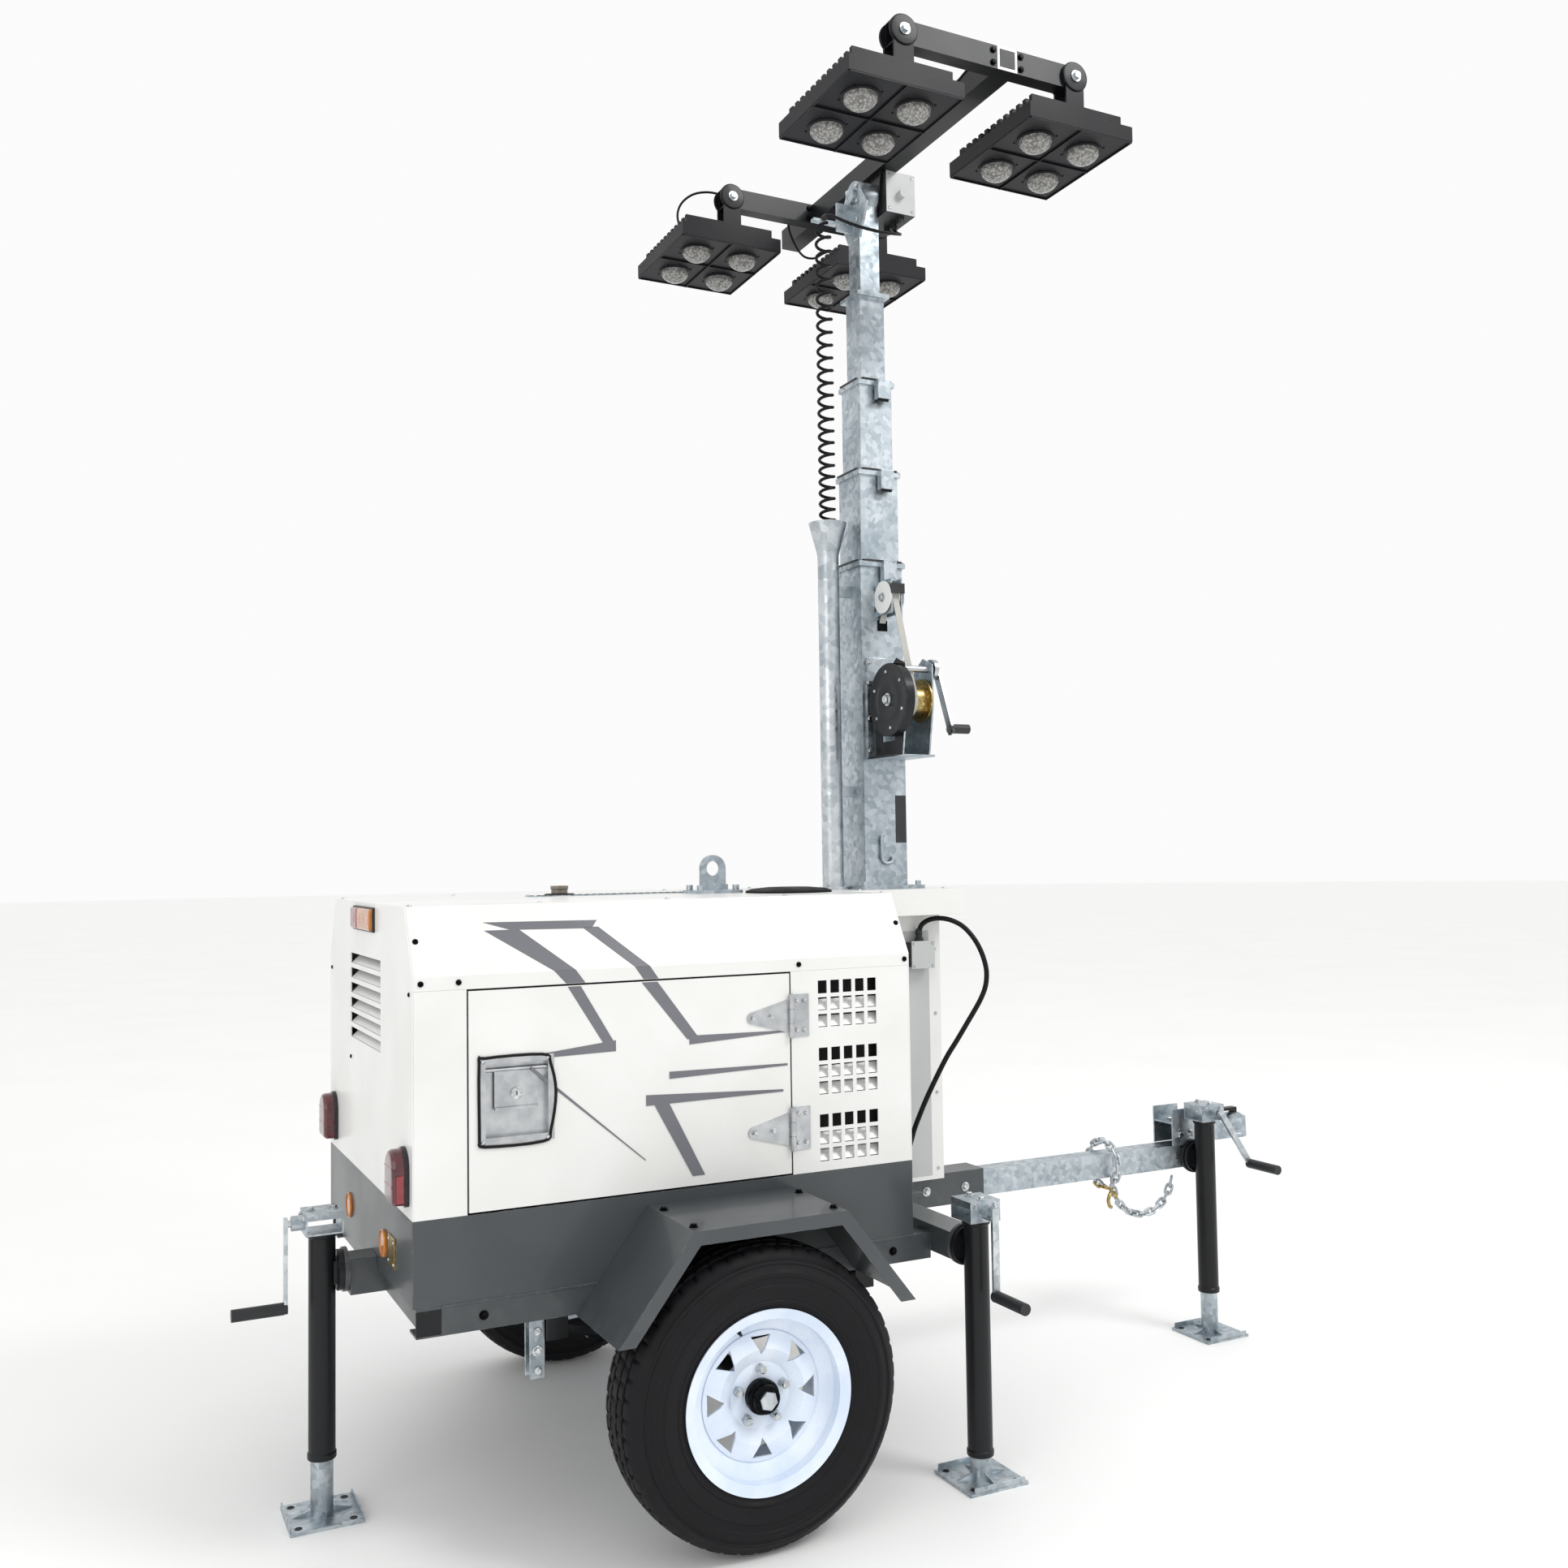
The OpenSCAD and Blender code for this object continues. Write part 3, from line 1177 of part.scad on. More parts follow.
chassis_frame();
lower_tub();
roof_panel();
rear_panel();
front_panel();
side_panels();
door_hinges();
fenders();
axle();
drawbar();
coupler();
coupler_latch();
safety_chain();
rear_lamps();
roof_fittings();
mast_column();
mast_cap();
engine();
alternator();
radiator();
muffler();
fuel_tank();
panel_and_battery();
power_cable();
mast_section_1();
mast_section_2();
mast_section_3();
mast_section_4();
guide_tube();
coil_cord();
winch_frame();
winch_drum();
winch_crank();
pulley_wheel();
head_beam();
junction_box();
lamp_rear_right();
lamp_front_right();
lamp_rear_left();
lamp_front_left();
tyre_right();
tyre_left();
rim_right();
rim_left();
door_right();
door_left();
latch_right();
latch_left();
jack_tube_rear();
jack_tube_right();
jack_tube_left();
jack_tube_nose();
jack_leg_rear();
jack_leg_right();
jack_leg_left();
jack_leg_nose();
jack_crank_rear();
jack_crank_right();
jack_crank_left();
jack_crank_nose();
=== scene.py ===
"""Looks of a towable lighting tower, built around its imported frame."""
import logging
import math
from dataclasses import dataclass, field
from enum import Enum
from typing import Callable, Sequence

import bmesh
import bpy
from mathutils import Matrix, Vector


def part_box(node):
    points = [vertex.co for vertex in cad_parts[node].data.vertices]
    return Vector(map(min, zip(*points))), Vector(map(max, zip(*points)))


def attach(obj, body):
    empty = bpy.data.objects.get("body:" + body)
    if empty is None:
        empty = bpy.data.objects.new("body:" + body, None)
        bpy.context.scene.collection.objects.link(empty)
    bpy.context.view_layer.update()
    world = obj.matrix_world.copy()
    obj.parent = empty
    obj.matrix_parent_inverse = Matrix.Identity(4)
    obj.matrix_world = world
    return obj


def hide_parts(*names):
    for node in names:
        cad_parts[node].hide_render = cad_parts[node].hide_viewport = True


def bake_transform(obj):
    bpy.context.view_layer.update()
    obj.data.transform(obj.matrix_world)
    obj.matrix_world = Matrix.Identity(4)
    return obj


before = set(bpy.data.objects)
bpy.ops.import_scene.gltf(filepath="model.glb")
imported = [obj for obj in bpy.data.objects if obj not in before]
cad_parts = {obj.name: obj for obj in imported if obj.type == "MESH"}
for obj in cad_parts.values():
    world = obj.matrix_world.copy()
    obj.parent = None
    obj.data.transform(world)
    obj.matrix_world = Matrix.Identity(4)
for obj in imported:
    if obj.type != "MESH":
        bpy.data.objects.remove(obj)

log = logging.getLogger("lighting_tower")
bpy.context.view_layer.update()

MM = 0.001
WAVE = 2 / 6.2832  # a wave texture's scale for one band per repeat

Point = Sequence[float]
Pair = tuple[float, float]
Tree = bpy.types.NodeTree
Node = bpy.types.Node
Socket = bpy.types.NodeSocket


# ---------------------------------------------------------------- colour and node helpers

def linear(code: str) -> tuple[float, float, float, float]:
    """Turns an sRGB hex colour into linear light.

    Args:
        code: The colour, such as "#EDEDEB".

    Returns:
        Red, green, blue and an alpha of 1.
    """
    parts = [int(code[i:i + 2], 16) / 255 for i in (1, 3, 5)]
    lit = [p / 12.92 if p <= 0.04045 else ((p + 0.055) / 1.055) ** 2.4 for p in parts]
    return (lit[0], lit[1], lit[2], 1.0)


def per_mm(size: float) -> float:
    """Texture scale, in repeats per metre, of a pattern whose cells are size millimetres wide."""
    return 1.0 / (size * MM)


def add(tree: Tree, kind: str, settings: dict | None = None,
        links: dict | None = None) -> Node:
    """Adds one node with its settings and links.

    Args:
        tree: The material's node tree.
        kind: The node's type name.
        settings: Values for its properties or, by name or number, for its sockets.
        links: Output sockets to join to its inputs, by name or number.

    Returns:
        The new node.
    """
    node = tree.nodes.new(kind)
    for key, value in (settings or {}).items():
        if isinstance(key, str) and hasattr(node, key):
            setattr(node, key, value)
        else:
            node.inputs[key].default_value = value
    for key, source in (links or {}).items():
        tree.links.new(source, node.inputs[key])
    return node


def put(shader: Node, values: dict[str, float]) -> None:
    """Sets the shader's uniform numbers, by socket name."""
    for name, value in values.items():
        shader.inputs[name].default_value = value


# ---------------------------------------------------------------- finishes

@dataclass(frozen=True)
class Finish:
    """What a surface is made of and how it was finished; each kind dresses its own shader."""

    name: str

    def material(self) -> bpy.types.Material:
        """Builds the material once and hands it out again after that.

        Returns:
            The Blender material.
        """
        found = bpy.data.materials.get(self.name)
        if found:
            return found
        made = bpy.data.materials.new(self.name)
        made.use_nodes = True
        tree = made.node_tree
        tree.nodes.clear()
        shader = add(tree, "ShaderNodeBsdfPrincipled")
        add(tree, "ShaderNodeOutputMaterial", links={"Surface": shader.outputs["BSDF"]})
        place = add(tree, "ShaderNodeTexCoord").outputs["Object"]
        self.dress(tree, shader, place)
        return made

    def dress(self, tree: Tree, shader: Node, place: Socket) -> None:
        """Adds this finish's own nodes.

        Args:
            tree: The material's node tree.
            shader: Its principled shader.
            place: Object coordinates, in metres.
        """
        raise NotImplementedError


def mixed(tree: Tree, first: str, second: str, mask: Socket) -> Socket:
    """Runs from one hex colour to another as the mask goes from 0 to 1."""
    return add(tree, "ShaderNodeMix", {"data_type": "RGBA", 6: linear(first), 7: linear(second)},
               {"Factor": mask}).outputs[2]


def join(tree: Tree, shader: Node, colour: Socket, rough: Node | None = None,
         bump: Node | None = None) -> None:
    """Links what varies over the surface to the shader.

    Args:
        tree: The material's node tree.
        shader: Its principled shader.
        colour: The base colour.
        rough: The node whose result is the roughness, if it varies.
        bump: The node that gives the normal, if the surface is uneven.
    """
    tree.links.new(colour, shader.inputs["Base Color"])
    if rough:
        tree.links.new(rough.outputs["Result"], shader.inputs["Roughness"])
    if bump:
        tree.links.new(bump.outputs["Normal"], shader.inputs["Normal"])


def mottled(tree: Tree, place: Socket, first: str, second: str, size: float,
            detail: float = 4.0) -> tuple[Socket, Socket]:
    """A cloudy mix of two colours, which keeps a wide surface from looking like one flat colour.

    Args:
        tree: The material's node tree.
        place: Coordinates in metres.
        first: Hex colour of the low parts.
        second: Hex colour of the high parts.
        size: Width of one cloud in millimetres.
        detail: Number of finer layers.

    Returns:
        The colour, and the mask that mixes it.
    """
    noise = add(tree, "ShaderNodeTexNoise", {"Scale": per_mm(size), "Detail": detail}, {"Vector": place})
    mask = add(tree, "ShaderNodeMapRange", {"From Min": 0.35, "From Max": 0.65},
               {"Value": noise.outputs["Fac"]}).outputs["Result"]
    return mixed(tree, first, second, mask), mask


def overlaid(tree: Tree, under: Socket, code: str, mask: Socket) -> Socket:
    """Lays one hex colour over another where mask is 1, and returns the result.

    Args:
        tree: The material's node tree.
        under: The colour below.
        code: Hex colour laid over it.
        mask: Where it shows, 0 to 1.

    Returns:
        The mixed colour.
    """
    mix = add(tree, "ShaderNodeMix", {"data_type": "RGBA"}, {"Factor": mask, 6: under})
    mix.inputs[7].default_value = linear(code)
    return mix.outputs[2]


def worn_edges(tree: Tree, place: Socket, radius: float, share: float) -> Socket:
    """Mask of edges and corners that have rubbed, broken up by noise.

    Args:
        tree: The material's node tree.
        place: Coordinates in metres.
        radius: How far the wear reaches from an edge, in millimetres.
        share: How much of the edges is worn, from 0 to 1.

    Returns:
        The mask, 1 where the edge is rubbed.
    """
    rounded = add(tree, "ShaderNodeBevel", {"samples": 4, "Radius": radius * MM})
    true = add(tree, "ShaderNodeNewGeometry")
    match = add(tree, "ShaderNodeVectorMath", {"operation": "DOT_PRODUCT"},
                {0: rounded.outputs["Normal"], 1: true.outputs["Normal"]})
    edge = add(tree, "ShaderNodeMapRange", {"From Min": 0.97, "From Max": 0.86},
               {"Value": match.outputs["Value"]})
    breaks = add(tree, "ShaderNodeTexNoise", {"Scale": per_mm(22), "Detail": 5.0}, {"Vector": place})
    kept = add(tree, "ShaderNodeMapRange", {"From Min": 0.62 - 0.3 * share, "From Max": 0.72 - 0.3 * share},
               {"Value": breaks.outputs["Fac"]})
    return add(tree, "ShaderNodeMath", {"operation": "MULTIPLY"},
               {0: edge.outputs["Result"], 1: kept.outputs["Result"]}).outputs[0]


@dataclass(frozen=True)
class PowderCoat(Finish):
    """Polyester powder sprayed on sheet steel and baked, which leaves a faint orange-peel skin."""

    colour: str = "#EDEDEB"
    cloud: str = "#E6E6E3"
    roughness: float = 0.36
    peel: float = 3.0
    peel_depth: float = 0.05
    bare: str = "#8C9194"
    wear: float = 0.0
    dust: str = ""
    dust_top: float = 0.0
    gloss: float = 0.5

    def dress(self, tree: Tree, shader: Node, place: Socket) -> None:
        """Clouded colour, orange-peel bump, rubbed edges and road dust low down."""
        colour, mask = mottled(tree, place, self.colour, self.cloud, 240)
        if self.dust:
            height = add(tree, "ShaderNodeSeparateXYZ", links={"Vector": place})
            low = add(tree, "ShaderNodeMapRange", {"From Min": self.dust_top, "From Max": 0.25},
                      {"Value": height.outputs["Z"]})
            grain = add(tree, "ShaderNodeTexNoise", {"Scale": per_mm(30), "Detail": 7.0}, {"Vector": place})
            spots = add(tree, "ShaderNodeMapRange", {"From Min": 0.42, "From Max": 0.75, "To Max": 0.55},
                        {"Value": grain.outputs["Fac"]})
            film = add(tree, "ShaderNodeMath", {"operation": "MULTIPLY"},
                       {0: low.outputs["Result"], 1: spots.outputs["Result"]})
            colour = overlaid(tree, colour, self.dust, film.outputs[0])
        if self.wear:
            colour = overlaid(tree, colour, self.bare, worn_edges(tree, place, 1.6, self.wear))
        rough = add(tree, "ShaderNodeMapRange",
                    {"To Min": self.roughness - 0.03, "To Max": self.roughness + 0.06}, {"Value": mask})
        peel = add(tree, "ShaderNodeTexNoise", {"Scale": per_mm(self.peel), "Detail": 1.5}, {"Vector": place})
        bump = add(tree, "ShaderNodeBump", {"Strength": 0.35, "Distance": self.peel_depth * MM},
                   {"Height": peel.outputs["Fac"]})
        put(shader, {"Coat Weight": 0.25 * self.gloss / 0.5, "Coat Roughness": 0.12,
                     "Specular IOR Level": self.gloss})
        join(tree, shader, colour, rough, bump)


@dataclass(frozen=True)
class Galvanised(Finish):
    """Steel dipped in molten zinc: crystals of slightly different grey, duller with weather."""

    light: str = "#C3CBD0"
    dark: str = "#97A2A9"
    spangle: float = 14.0
    roughness: float = 0.42

    def dress(self, tree: Tree, shader: Node, place: Socket) -> None:
        """Zinc spangle in colour and gloss, and a fine frosted bump."""
        warp = add(tree, "ShaderNodeTexNoise", {"Scale": per_mm(18), "Detail": 2.0}, {"Vector": place})
        bent = add(tree, "ShaderNodeVectorMath", {"operation": "MULTIPLY_ADD", 1: (0.006, 0.006, 0.006)},
                   {0: warp.outputs["Color"], 2: place})
        cells = add(tree, "ShaderNodeTexVoronoi", {"Scale": per_mm(self.spangle)},
                    {"Vector": bent.outputs["Vector"]})
        tint = add(tree, "ShaderNodeSeparateColor", links={"Color": cells.outputs["Color"]})
        cloud = add(tree, "ShaderNodeTexNoise", {"Scale": per_mm(160), "Detail": 3.0}, {"Vector": place})
        share = add(tree, "ShaderNodeMath", {"operation": "MULTIPLY_ADD", 1: 0.45},
                    {0: tint.outputs["Red"], 2: cloud.outputs["Fac"]})
        ramp = add(tree, "ShaderNodeMapRange", {"From Min": 0.45, "From Max": 1.0},
                   {"Value": share.outputs[0]})
        colour = mixed(tree, self.dark, self.light, ramp.outputs["Result"])
        rough = add(tree, "ShaderNodeMapRange",
                    {"To Min": self.roughness - 0.08, "To Max": self.roughness + 0.12},
                    {"Value": tint.outputs["Green"]})
        frost = add(tree, "ShaderNodeTexNoise", {"Scale": per_mm(1.6), "Detail": 3.0}, {"Vector": place})
        bump = add(tree, "ShaderNodeBump", {"Strength": 0.3, "Distance": 0.06 * MM},
                   {"Height": frost.outputs["Fac"]})
        shader.inputs["Metallic"].default_value = 1.0
        join(tree, shader, colour, rough, bump)


@dataclass(frozen=True)
class BrushedStainless(Finish):
    """Stainless sheet drawn over an abrasive belt: fine parallel lines that stretch the highlight."""

    colour: str = "#C4C6C8"
    roughness: float = 0.3
    line: float = 0.9

    def dress(self, tree: Tree, shader: Node, place: Socket) -> None:
        """Lines along X, drawn coarser than the real 0.1 mm ones so that they show."""
        drawn = add(tree, "ShaderNodeMapping", {"Scale": (0.03, 1.0, 1.0)}, {"Vector": place})
        lines = add(tree, "ShaderNodeTexNoise", {"Scale": per_mm(self.line), "Detail": 2.0},
                    {"Vector": drawn.outputs["Vector"]})
        colour, _ = mottled(tree, place, self.colour, "#ABAEB1", 35)
        rough = add(tree, "ShaderNodeMapRange",
                    {"To Min": self.roughness - 0.08, "To Max": self.roughness + 0.14},
                    {"Value": lines.outputs["Fac"]})
        bump = add(tree, "ShaderNodeBump", {"Strength": 0.25, "Distance": 0.05 * MM},
                   {"Height": lines.outputs["Fac"]})
        shader.inputs["Metallic"].default_value = 1.0
        join(tree, shader, colour, rough, bump)


@dataclass(frozen=True)
class BrightZinc(Finish):
    """Electroplated zinc on small fasteners: bright, with a faint cloudy bloom."""

    colour: str = "#D5D8DA"
    bloom: str = "#A8ACAE"
    roughness: float = 0.2

    def dress(self, tree: Tree, shader: Node, place: Socket) -> None:
        """Bright metal with blooms a few millimetres wide and small handling marks."""
        colour, mask = mottled(tree, place, self.colour, self.bloom, 9)
        rough = add(tree, "ShaderNodeMapRange",
                    {"To Min": self.roughness - 0.05, "To Max": self.roughness + 0.18}, {"Value": mask})
        marks = add(tree, "ShaderNodeTexNoise", {"Scale": per_mm(1.2), "Detail": 4.0}, {"Vector": place})
        bump = add(tree, "ShaderNodeBump", {"Strength": 0.2, "Distance": 0.04 * MM},
                   {"Height": marks.outputs["Fac"]})
        shader.inputs["Metallic"].default_value = 1.0
        join(tree, shader, colour, rough, bump)


@dataclass(frozen=True)
class Enamel(Finish):
    """Solvent enamel sprayed on the steel wheels: a smooth, wet-looking skin over the pressing."""

    colour: str = "#E1EAF6"
    shade: str = "#CFDCEE"
    roughness: float = 0.24

    def dress(self, tree: Tree, shader: Node, place: Socket) -> None:
        """Slow colour drift, a clear coat and very shallow sags in the paint."""
        colour, mask = mottled(tree, place, self.colour, self.shade, 90)
        rough = add(tree, "ShaderNodeMapRange",
                    {"To Min": self.roughness, "To Max": self.roughness + 0.1}, {"Value": mask})
        sags = add(tree, "ShaderNodeTexNoise", {"Scale": per_mm(12), "Detail": 2.0}, {"Vector": place})
        bump = add(tree, "ShaderNodeBump", {"Strength": 0.2, "Distance": 0.12 * MM},
                   {"Height": sags.outputs["Fac"]})
        put(shader, {"Coat Weight": 0.5, "Coat Roughness": 0.06})
        join(tree, shader, colour, rough, bump)


@dataclass(frozen=True)
class MouldedRubber(Finish):
    """Vulcanised rubber: soft black with a greyish bloom and a fine matt grain from the mould."""

    colour: str = "#0B0B0C"
    bloom: str = "#1A1B1D"
    roughness: float = 0.56
    grain: float = 1.4

    def dress(self, tree: Tree, shader: Node, place: Socket) -> None:
        """Bloomed black with the mould's grain in the bump."""
        colour, mask = mottled(tree, place, self.colour, self.bloom, 45, detail=6.0)
        rough = add(tree, "ShaderNodeMapRange",
                    {"To Min": self.roughness - 0.05, "To Max": self.roughness + 0.14}, {"Value": mask})
        grain = add(tree, "ShaderNodeTexNoise", {"Scale": per_mm(self.grain), "Detail": 3.0},
                    {"Vector": place})
        bump = add(tree, "ShaderNodeBump", {"Strength": 0.5, "Distance": 0.12 * MM},
                   {"Height": grain.outputs["Fac"]})
        shader.inputs["Specular IOR Level"].default_value = 0.22
        join(tree, shader, colour, rough, bump)


@dataclass(frozen=True)
class MouldedPlastic(Finish):
    """Injection-moulded nylon or ABS with a spark-eroded grain, which breaks up the highlight."""

    colour: str = "#1C1D1F"
    cloud: str = "#232528"
    roughness: float = 0.45
    grain: float = 1.0

    def dress(self, tree: Tree, shader: Node, place: Socket) -> None:
        """Even colour, leather-like cells a millimetre wide in the bump."""
        colour, _ = mottled(tree, place, self.colour, self.cloud, 60)
        cells = add(tree, "ShaderNodeTexVoronoi", {"Scale": per_mm(self.grain)}, {"Vector": place})
        rough = add(tree, "ShaderNodeMapRange",
                    {"To Min": self.roughness - 0.05, "To Max": self.roughness + 0.1},
                    {"Value": cells.outputs["Distance"]})
        bump = add(tree, "ShaderNodeBump", {"Strength": 0.35, "Distance": 0.07 * MM},
                   {"Height": cells.outputs["Distance"]})
        join(tree, shader, colour, rough, bump)


@dataclass(frozen=True)
class SignalLens(Finish):
    """Acrylic lamp lens with moulded prisms inside: deep colour, sharp gloss, fine ribs."""

    colour: str = "#6B1B2A"
    deep: str = "#4A101C"
    rib: float = 4.0

    def dress(self, tree: Tree, shader: Node, place: Socket) -> None:
        """Ribs in the bump under a polished skin, with some light let through."""
        colour, _ = mottled(tree, place, self.colour, self.deep, 26)
        ribs = add(tree, "ShaderNodeTexWave", {"bands_direction": "Y", "Scale": per_mm(self.rib) * WAVE},
                   {"Vector": place})
        bump = add(tree, "ShaderNodeBump", {"Strength": 0.5, "Distance": 0.4 * MM},
                   {"Height": ribs.outputs["Fac"]})
        put(shader, {"Roughness": 0.12, "IOR": 1.49, "Transmission Weight": 0.18, "Coat Weight": 0.6,
                     "Coat Roughness": 0.03})
        join(tree, shader, colour, bump=bump)


@dataclass(frozen=True)
class PrismaticGlass(Finish):
    """Pressed borosilicate dome over a diode: milky grey, with facets that sparkle."""

    colour: str = "#C9C8C4"
    deep: str = "#7D7C79"
    facet: float = 7.0

    def dress(self, tree: Tree, shader: Node, place: Socket) -> None:
        """Pressed facets in the bump and in the grey, partly see-through."""
        cells = add(tree, "ShaderNodeTexVoronoi", {"Scale": per_mm(self.facet)}, {"Vector": place})
        ramp = add(tree, "ShaderNodeMapRange", {"From Min": 0.15, "From Max": 0.7},
                   {"Value": cells.outputs["Distance"]})
        colour = mixed(tree, self.colour, self.deep, ramp.outputs["Result"])
        bump = add(tree, "ShaderNodeBump", {"Strength": 0.8, "Distance": 0.8 * MM},
                   {"Height": cells.outputs["Distance"]})
        put(shader, {"Roughness": 0.14, "IOR": 1.47, "Transmission Weight": 0.3})
        join(tree, shader, colour, bump=bump)


@dataclass(frozen=True)
class Webbing(Finish):
    """Woven polyester strap: a twill a few millimetres wide that scatters the light."""

    colour: str = "#D9D8D2"
    shade: str = "#A9A8A2"
    thread: float = 2.5

    def dress(self, tree: Tree, shader: Node, place: Socket) -> None:
        """Threads both ways, in colour and bump."""
        waves = [add(tree, "ShaderNodeTexWave",
                     {"bands_direction": way, "Scale": per_mm(self.thread) * WAVE, "Distortion": 0.4},
                     {"Vector": place}) for way in ("X", "Z")]
        weave = add(tree, "ShaderNodeMath", {"operation": "MULTIPLY"},
                    {0: waves[0].outputs["Fac"], 1: waves[1].outputs["Fac"]})
        colour = mixed(tree, self.shade, self.colour, weave.outputs[0])
        bump = add(tree, "ShaderNodeBump", {"Strength": 0.6, "Distance": 0.4 * MM},
                   {"Height": weave.outputs[0]})
        shader.inputs["Roughness"].default_value = 0.8
        join(tree, shader, colour, bump=bump)


@dataclass(frozen=True)
class CastIron(Finish):
    """Sand-cast or aluminised metal under thin paint: a coarse skin with oily patches."""

    colour: str = "#4A4F52"
    oil: str = "#2E3133"
    roughness: float = 0.5
    sand: float = 2.2
    metallic: float = 0.0

    def dress(self, tree: Tree, shader: Node, place: Socket) -> None:
        """Sand texture in the bump, darker oily patches in the colour."""
        colour, mask = mottled(tree, place, self.colour, self.oil, 70, detail=6.0)
        rough = add(tree, "ShaderNodeMapRange",
                    {"To Min": self.roughness + 0.1, "To Max": self.roughness - 0.12}, {"Value": mask})
        sand = add(tree, "ShaderNodeTexNoise", {"Scale": per_mm(self.sand), "Detail": 4.0},
                   {"Vector": place})
        bump = add(tree, "ShaderNodeBump", {"Strength": 0.6, "Distance": 0.25 * MM},
                   {"Height": sand.outputs["Fac"]})
        shader.inputs["Metallic"].default_value = self.metallic
        join(tree, shader, colour, rough, bump)


@dataclass(frozen=True)
class Screed(Finish):
    """Power-floated pale floor: nearly even, with a soft sheen."""

    colour: str = "#F9F9F8"
    cloud: str = "#F7F7F6"

    def dress(self, tree: Tree, shader: Node, place: Socket) -> None:
        """A very slight drift in tone."""
        colour, _ = mottled(tree, place, self.colour, self.cloud, 900)
        shader.inputs["Roughness"].default_value = 0.7
        join(tree, shader, colour)


# Sprayed panels: warm white with a soft, slightly pebbled sheen.
WHITE_COAT = PowderCoat("powder_coat_white", "#E6E6E4", "#DFDFDC", 0.36)
# Tub, fenders and frame: anthracite, dusty low down, rubbed bright on the edges.
DARK_COAT = PowderCoat("powder_coat_anthracite", "#3F4447", "#383D40", 0.4, wear=0.35, dust="#6A6A66",
                       dust_top=0.62)
# Jack tubes and beam: black with a dull shine.
BLACK_COAT = PowderCoat("powder_coat_black", "#101113", "#15171A", 0.4, 2.2, 0.05, "#5A5E61", 0.3, gloss=0.25)
# Lamp housings: deep, nearly matt black over the casting's grain.
LAMP_COAT = PowderCoat("powder_coat_on_die_cast_aluminium", "#121215", "#1A1A1F", 0.44, 1.8, 0.08, "#4C4F55",
                       0.2, gloss=0.15)
# Stripes: flat mid grey film, flatter than the paint under it.
GRAPHITE_INK = PowderCoat("cast_vinyl_grey", "#74757A", "#6E6F74", 0.55, 6.0, 0.01, gloss=0.2)
# Electric panel and small boxes: greys with more or less texture; the light grey also serves as painted shade on
# the column's white side.
PANEL_COAT = PowderCoat("textured_coat_grey", "#8C9296", "#858B8F", 0.55, 1.4, 0.12)
GREY_COAT_AND_PAINTED_SHADE = PowderCoat("powder_coat_light_grey", "#B9BCBB", "#B1B4B3", 0.42)
# Dipped zinc with large crystals, and drawn tube with smaller, paler ones.
ZINC_DIP = Galvanised("hot_dip_galvanised_steel")
ZINC_BAR = Galvanised("galvanised_tube_drawn", "#D0D5D8", "#A4ACB1", 20.0, 0.36)
# Latches and hinges: long soft highlights along the belt's lines.
STAINLESS = BrushedStainless("stainless_steel_brushed")
# Fasteners: bright, black, and the winch drum's yellow.
BRIGHT_ZINC = BrightZinc("zinc_electroplated")
BLACK_OXIDE = BrightZinc("black_oxide_fasteners", "#1B1C1E", "#101113", 0.35)
BRASS = BrightZinc("yellow_passivated_zinc", "#C9B27A", "#8F7A4B", 0.28)
# Wheels: cool white with a wet shine.
WHEEL_PAINT = Enamel("wheel_enamel_white")
# Rubber, from the dull tyre to the smoother cable jacket.
TYRE = MouldedRubber("tyre_rubber_vulcanised", "#0A0A0C", "#141418")
HOSE = MouldedRubber("cable_jacket_extruded", "#060607", "#0E0E10", 0.42, 0.8)
SEAL = MouldedRubber("rubber_seal_extruded", "#0D0D0E", "#151517", 0.6, 0.8)
# Plastics: grained black grips, the waxy white roller, the dull tank.
NYLON_BLACK = MouldedPlastic("nylon_black_moulded")
NYLON_WHITE = MouldedPlastic("nylon_white_turned", "#E2E2DE", "#D5D5D0", 0.4)
TANK_PE = MouldedPlastic("polyethylene_rotomoulded", "#1E2022", "#26292B", 0.55, 2.0)
# Lenses: dark wine red, its brighter windows, and amber.
RED_LENS = SignalLens("acrylic_lens_red")
RED_CLEAR = SignalLens("acrylic_lens_bright_red", "#A32A36", "#7C1824")
AMBER_LENS = SignalLens("acrylic_lens_amber", "#E08A16", "#B8660A")
# Lamp domes: mottled milky grey.
DOME_GLASS = PrismaticGlass("pressed_glass_dome")
# Winch strap: off-white and fibrous.
STRAP = Webbing("polyester_webbing_woven")
# Machinery: dull painted castings, a heat-stained silencer, and the black radiator core.
ENGINE_PAINT = CastIron("engine_enamel_on_cast_iron")
ALTERNATOR_PAINT = CastIron("alternator_enamel_on_casting", "#6A7075", "#565B60")
ALUMINISED = CastIron("aluminised_exhaust_steel", "#9A958D", "#6E6256", 0.5, 3.0, 0.8)
CORE = CastIron("radiator_core_black", "#17181A", "#0E0F10", 0.55, 1.5)
# Studio floor: pale and quiet.
FLOOR = Screed("floor_screed_pale")


# ---------------------------------------------------------------- shape helpers


def corners(node: str) -> tuple[Vector, Vector]:
    """Lowest and highest corner of a CAD node, in millimetres."""
    low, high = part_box(node)
    return low / MM, high / MM


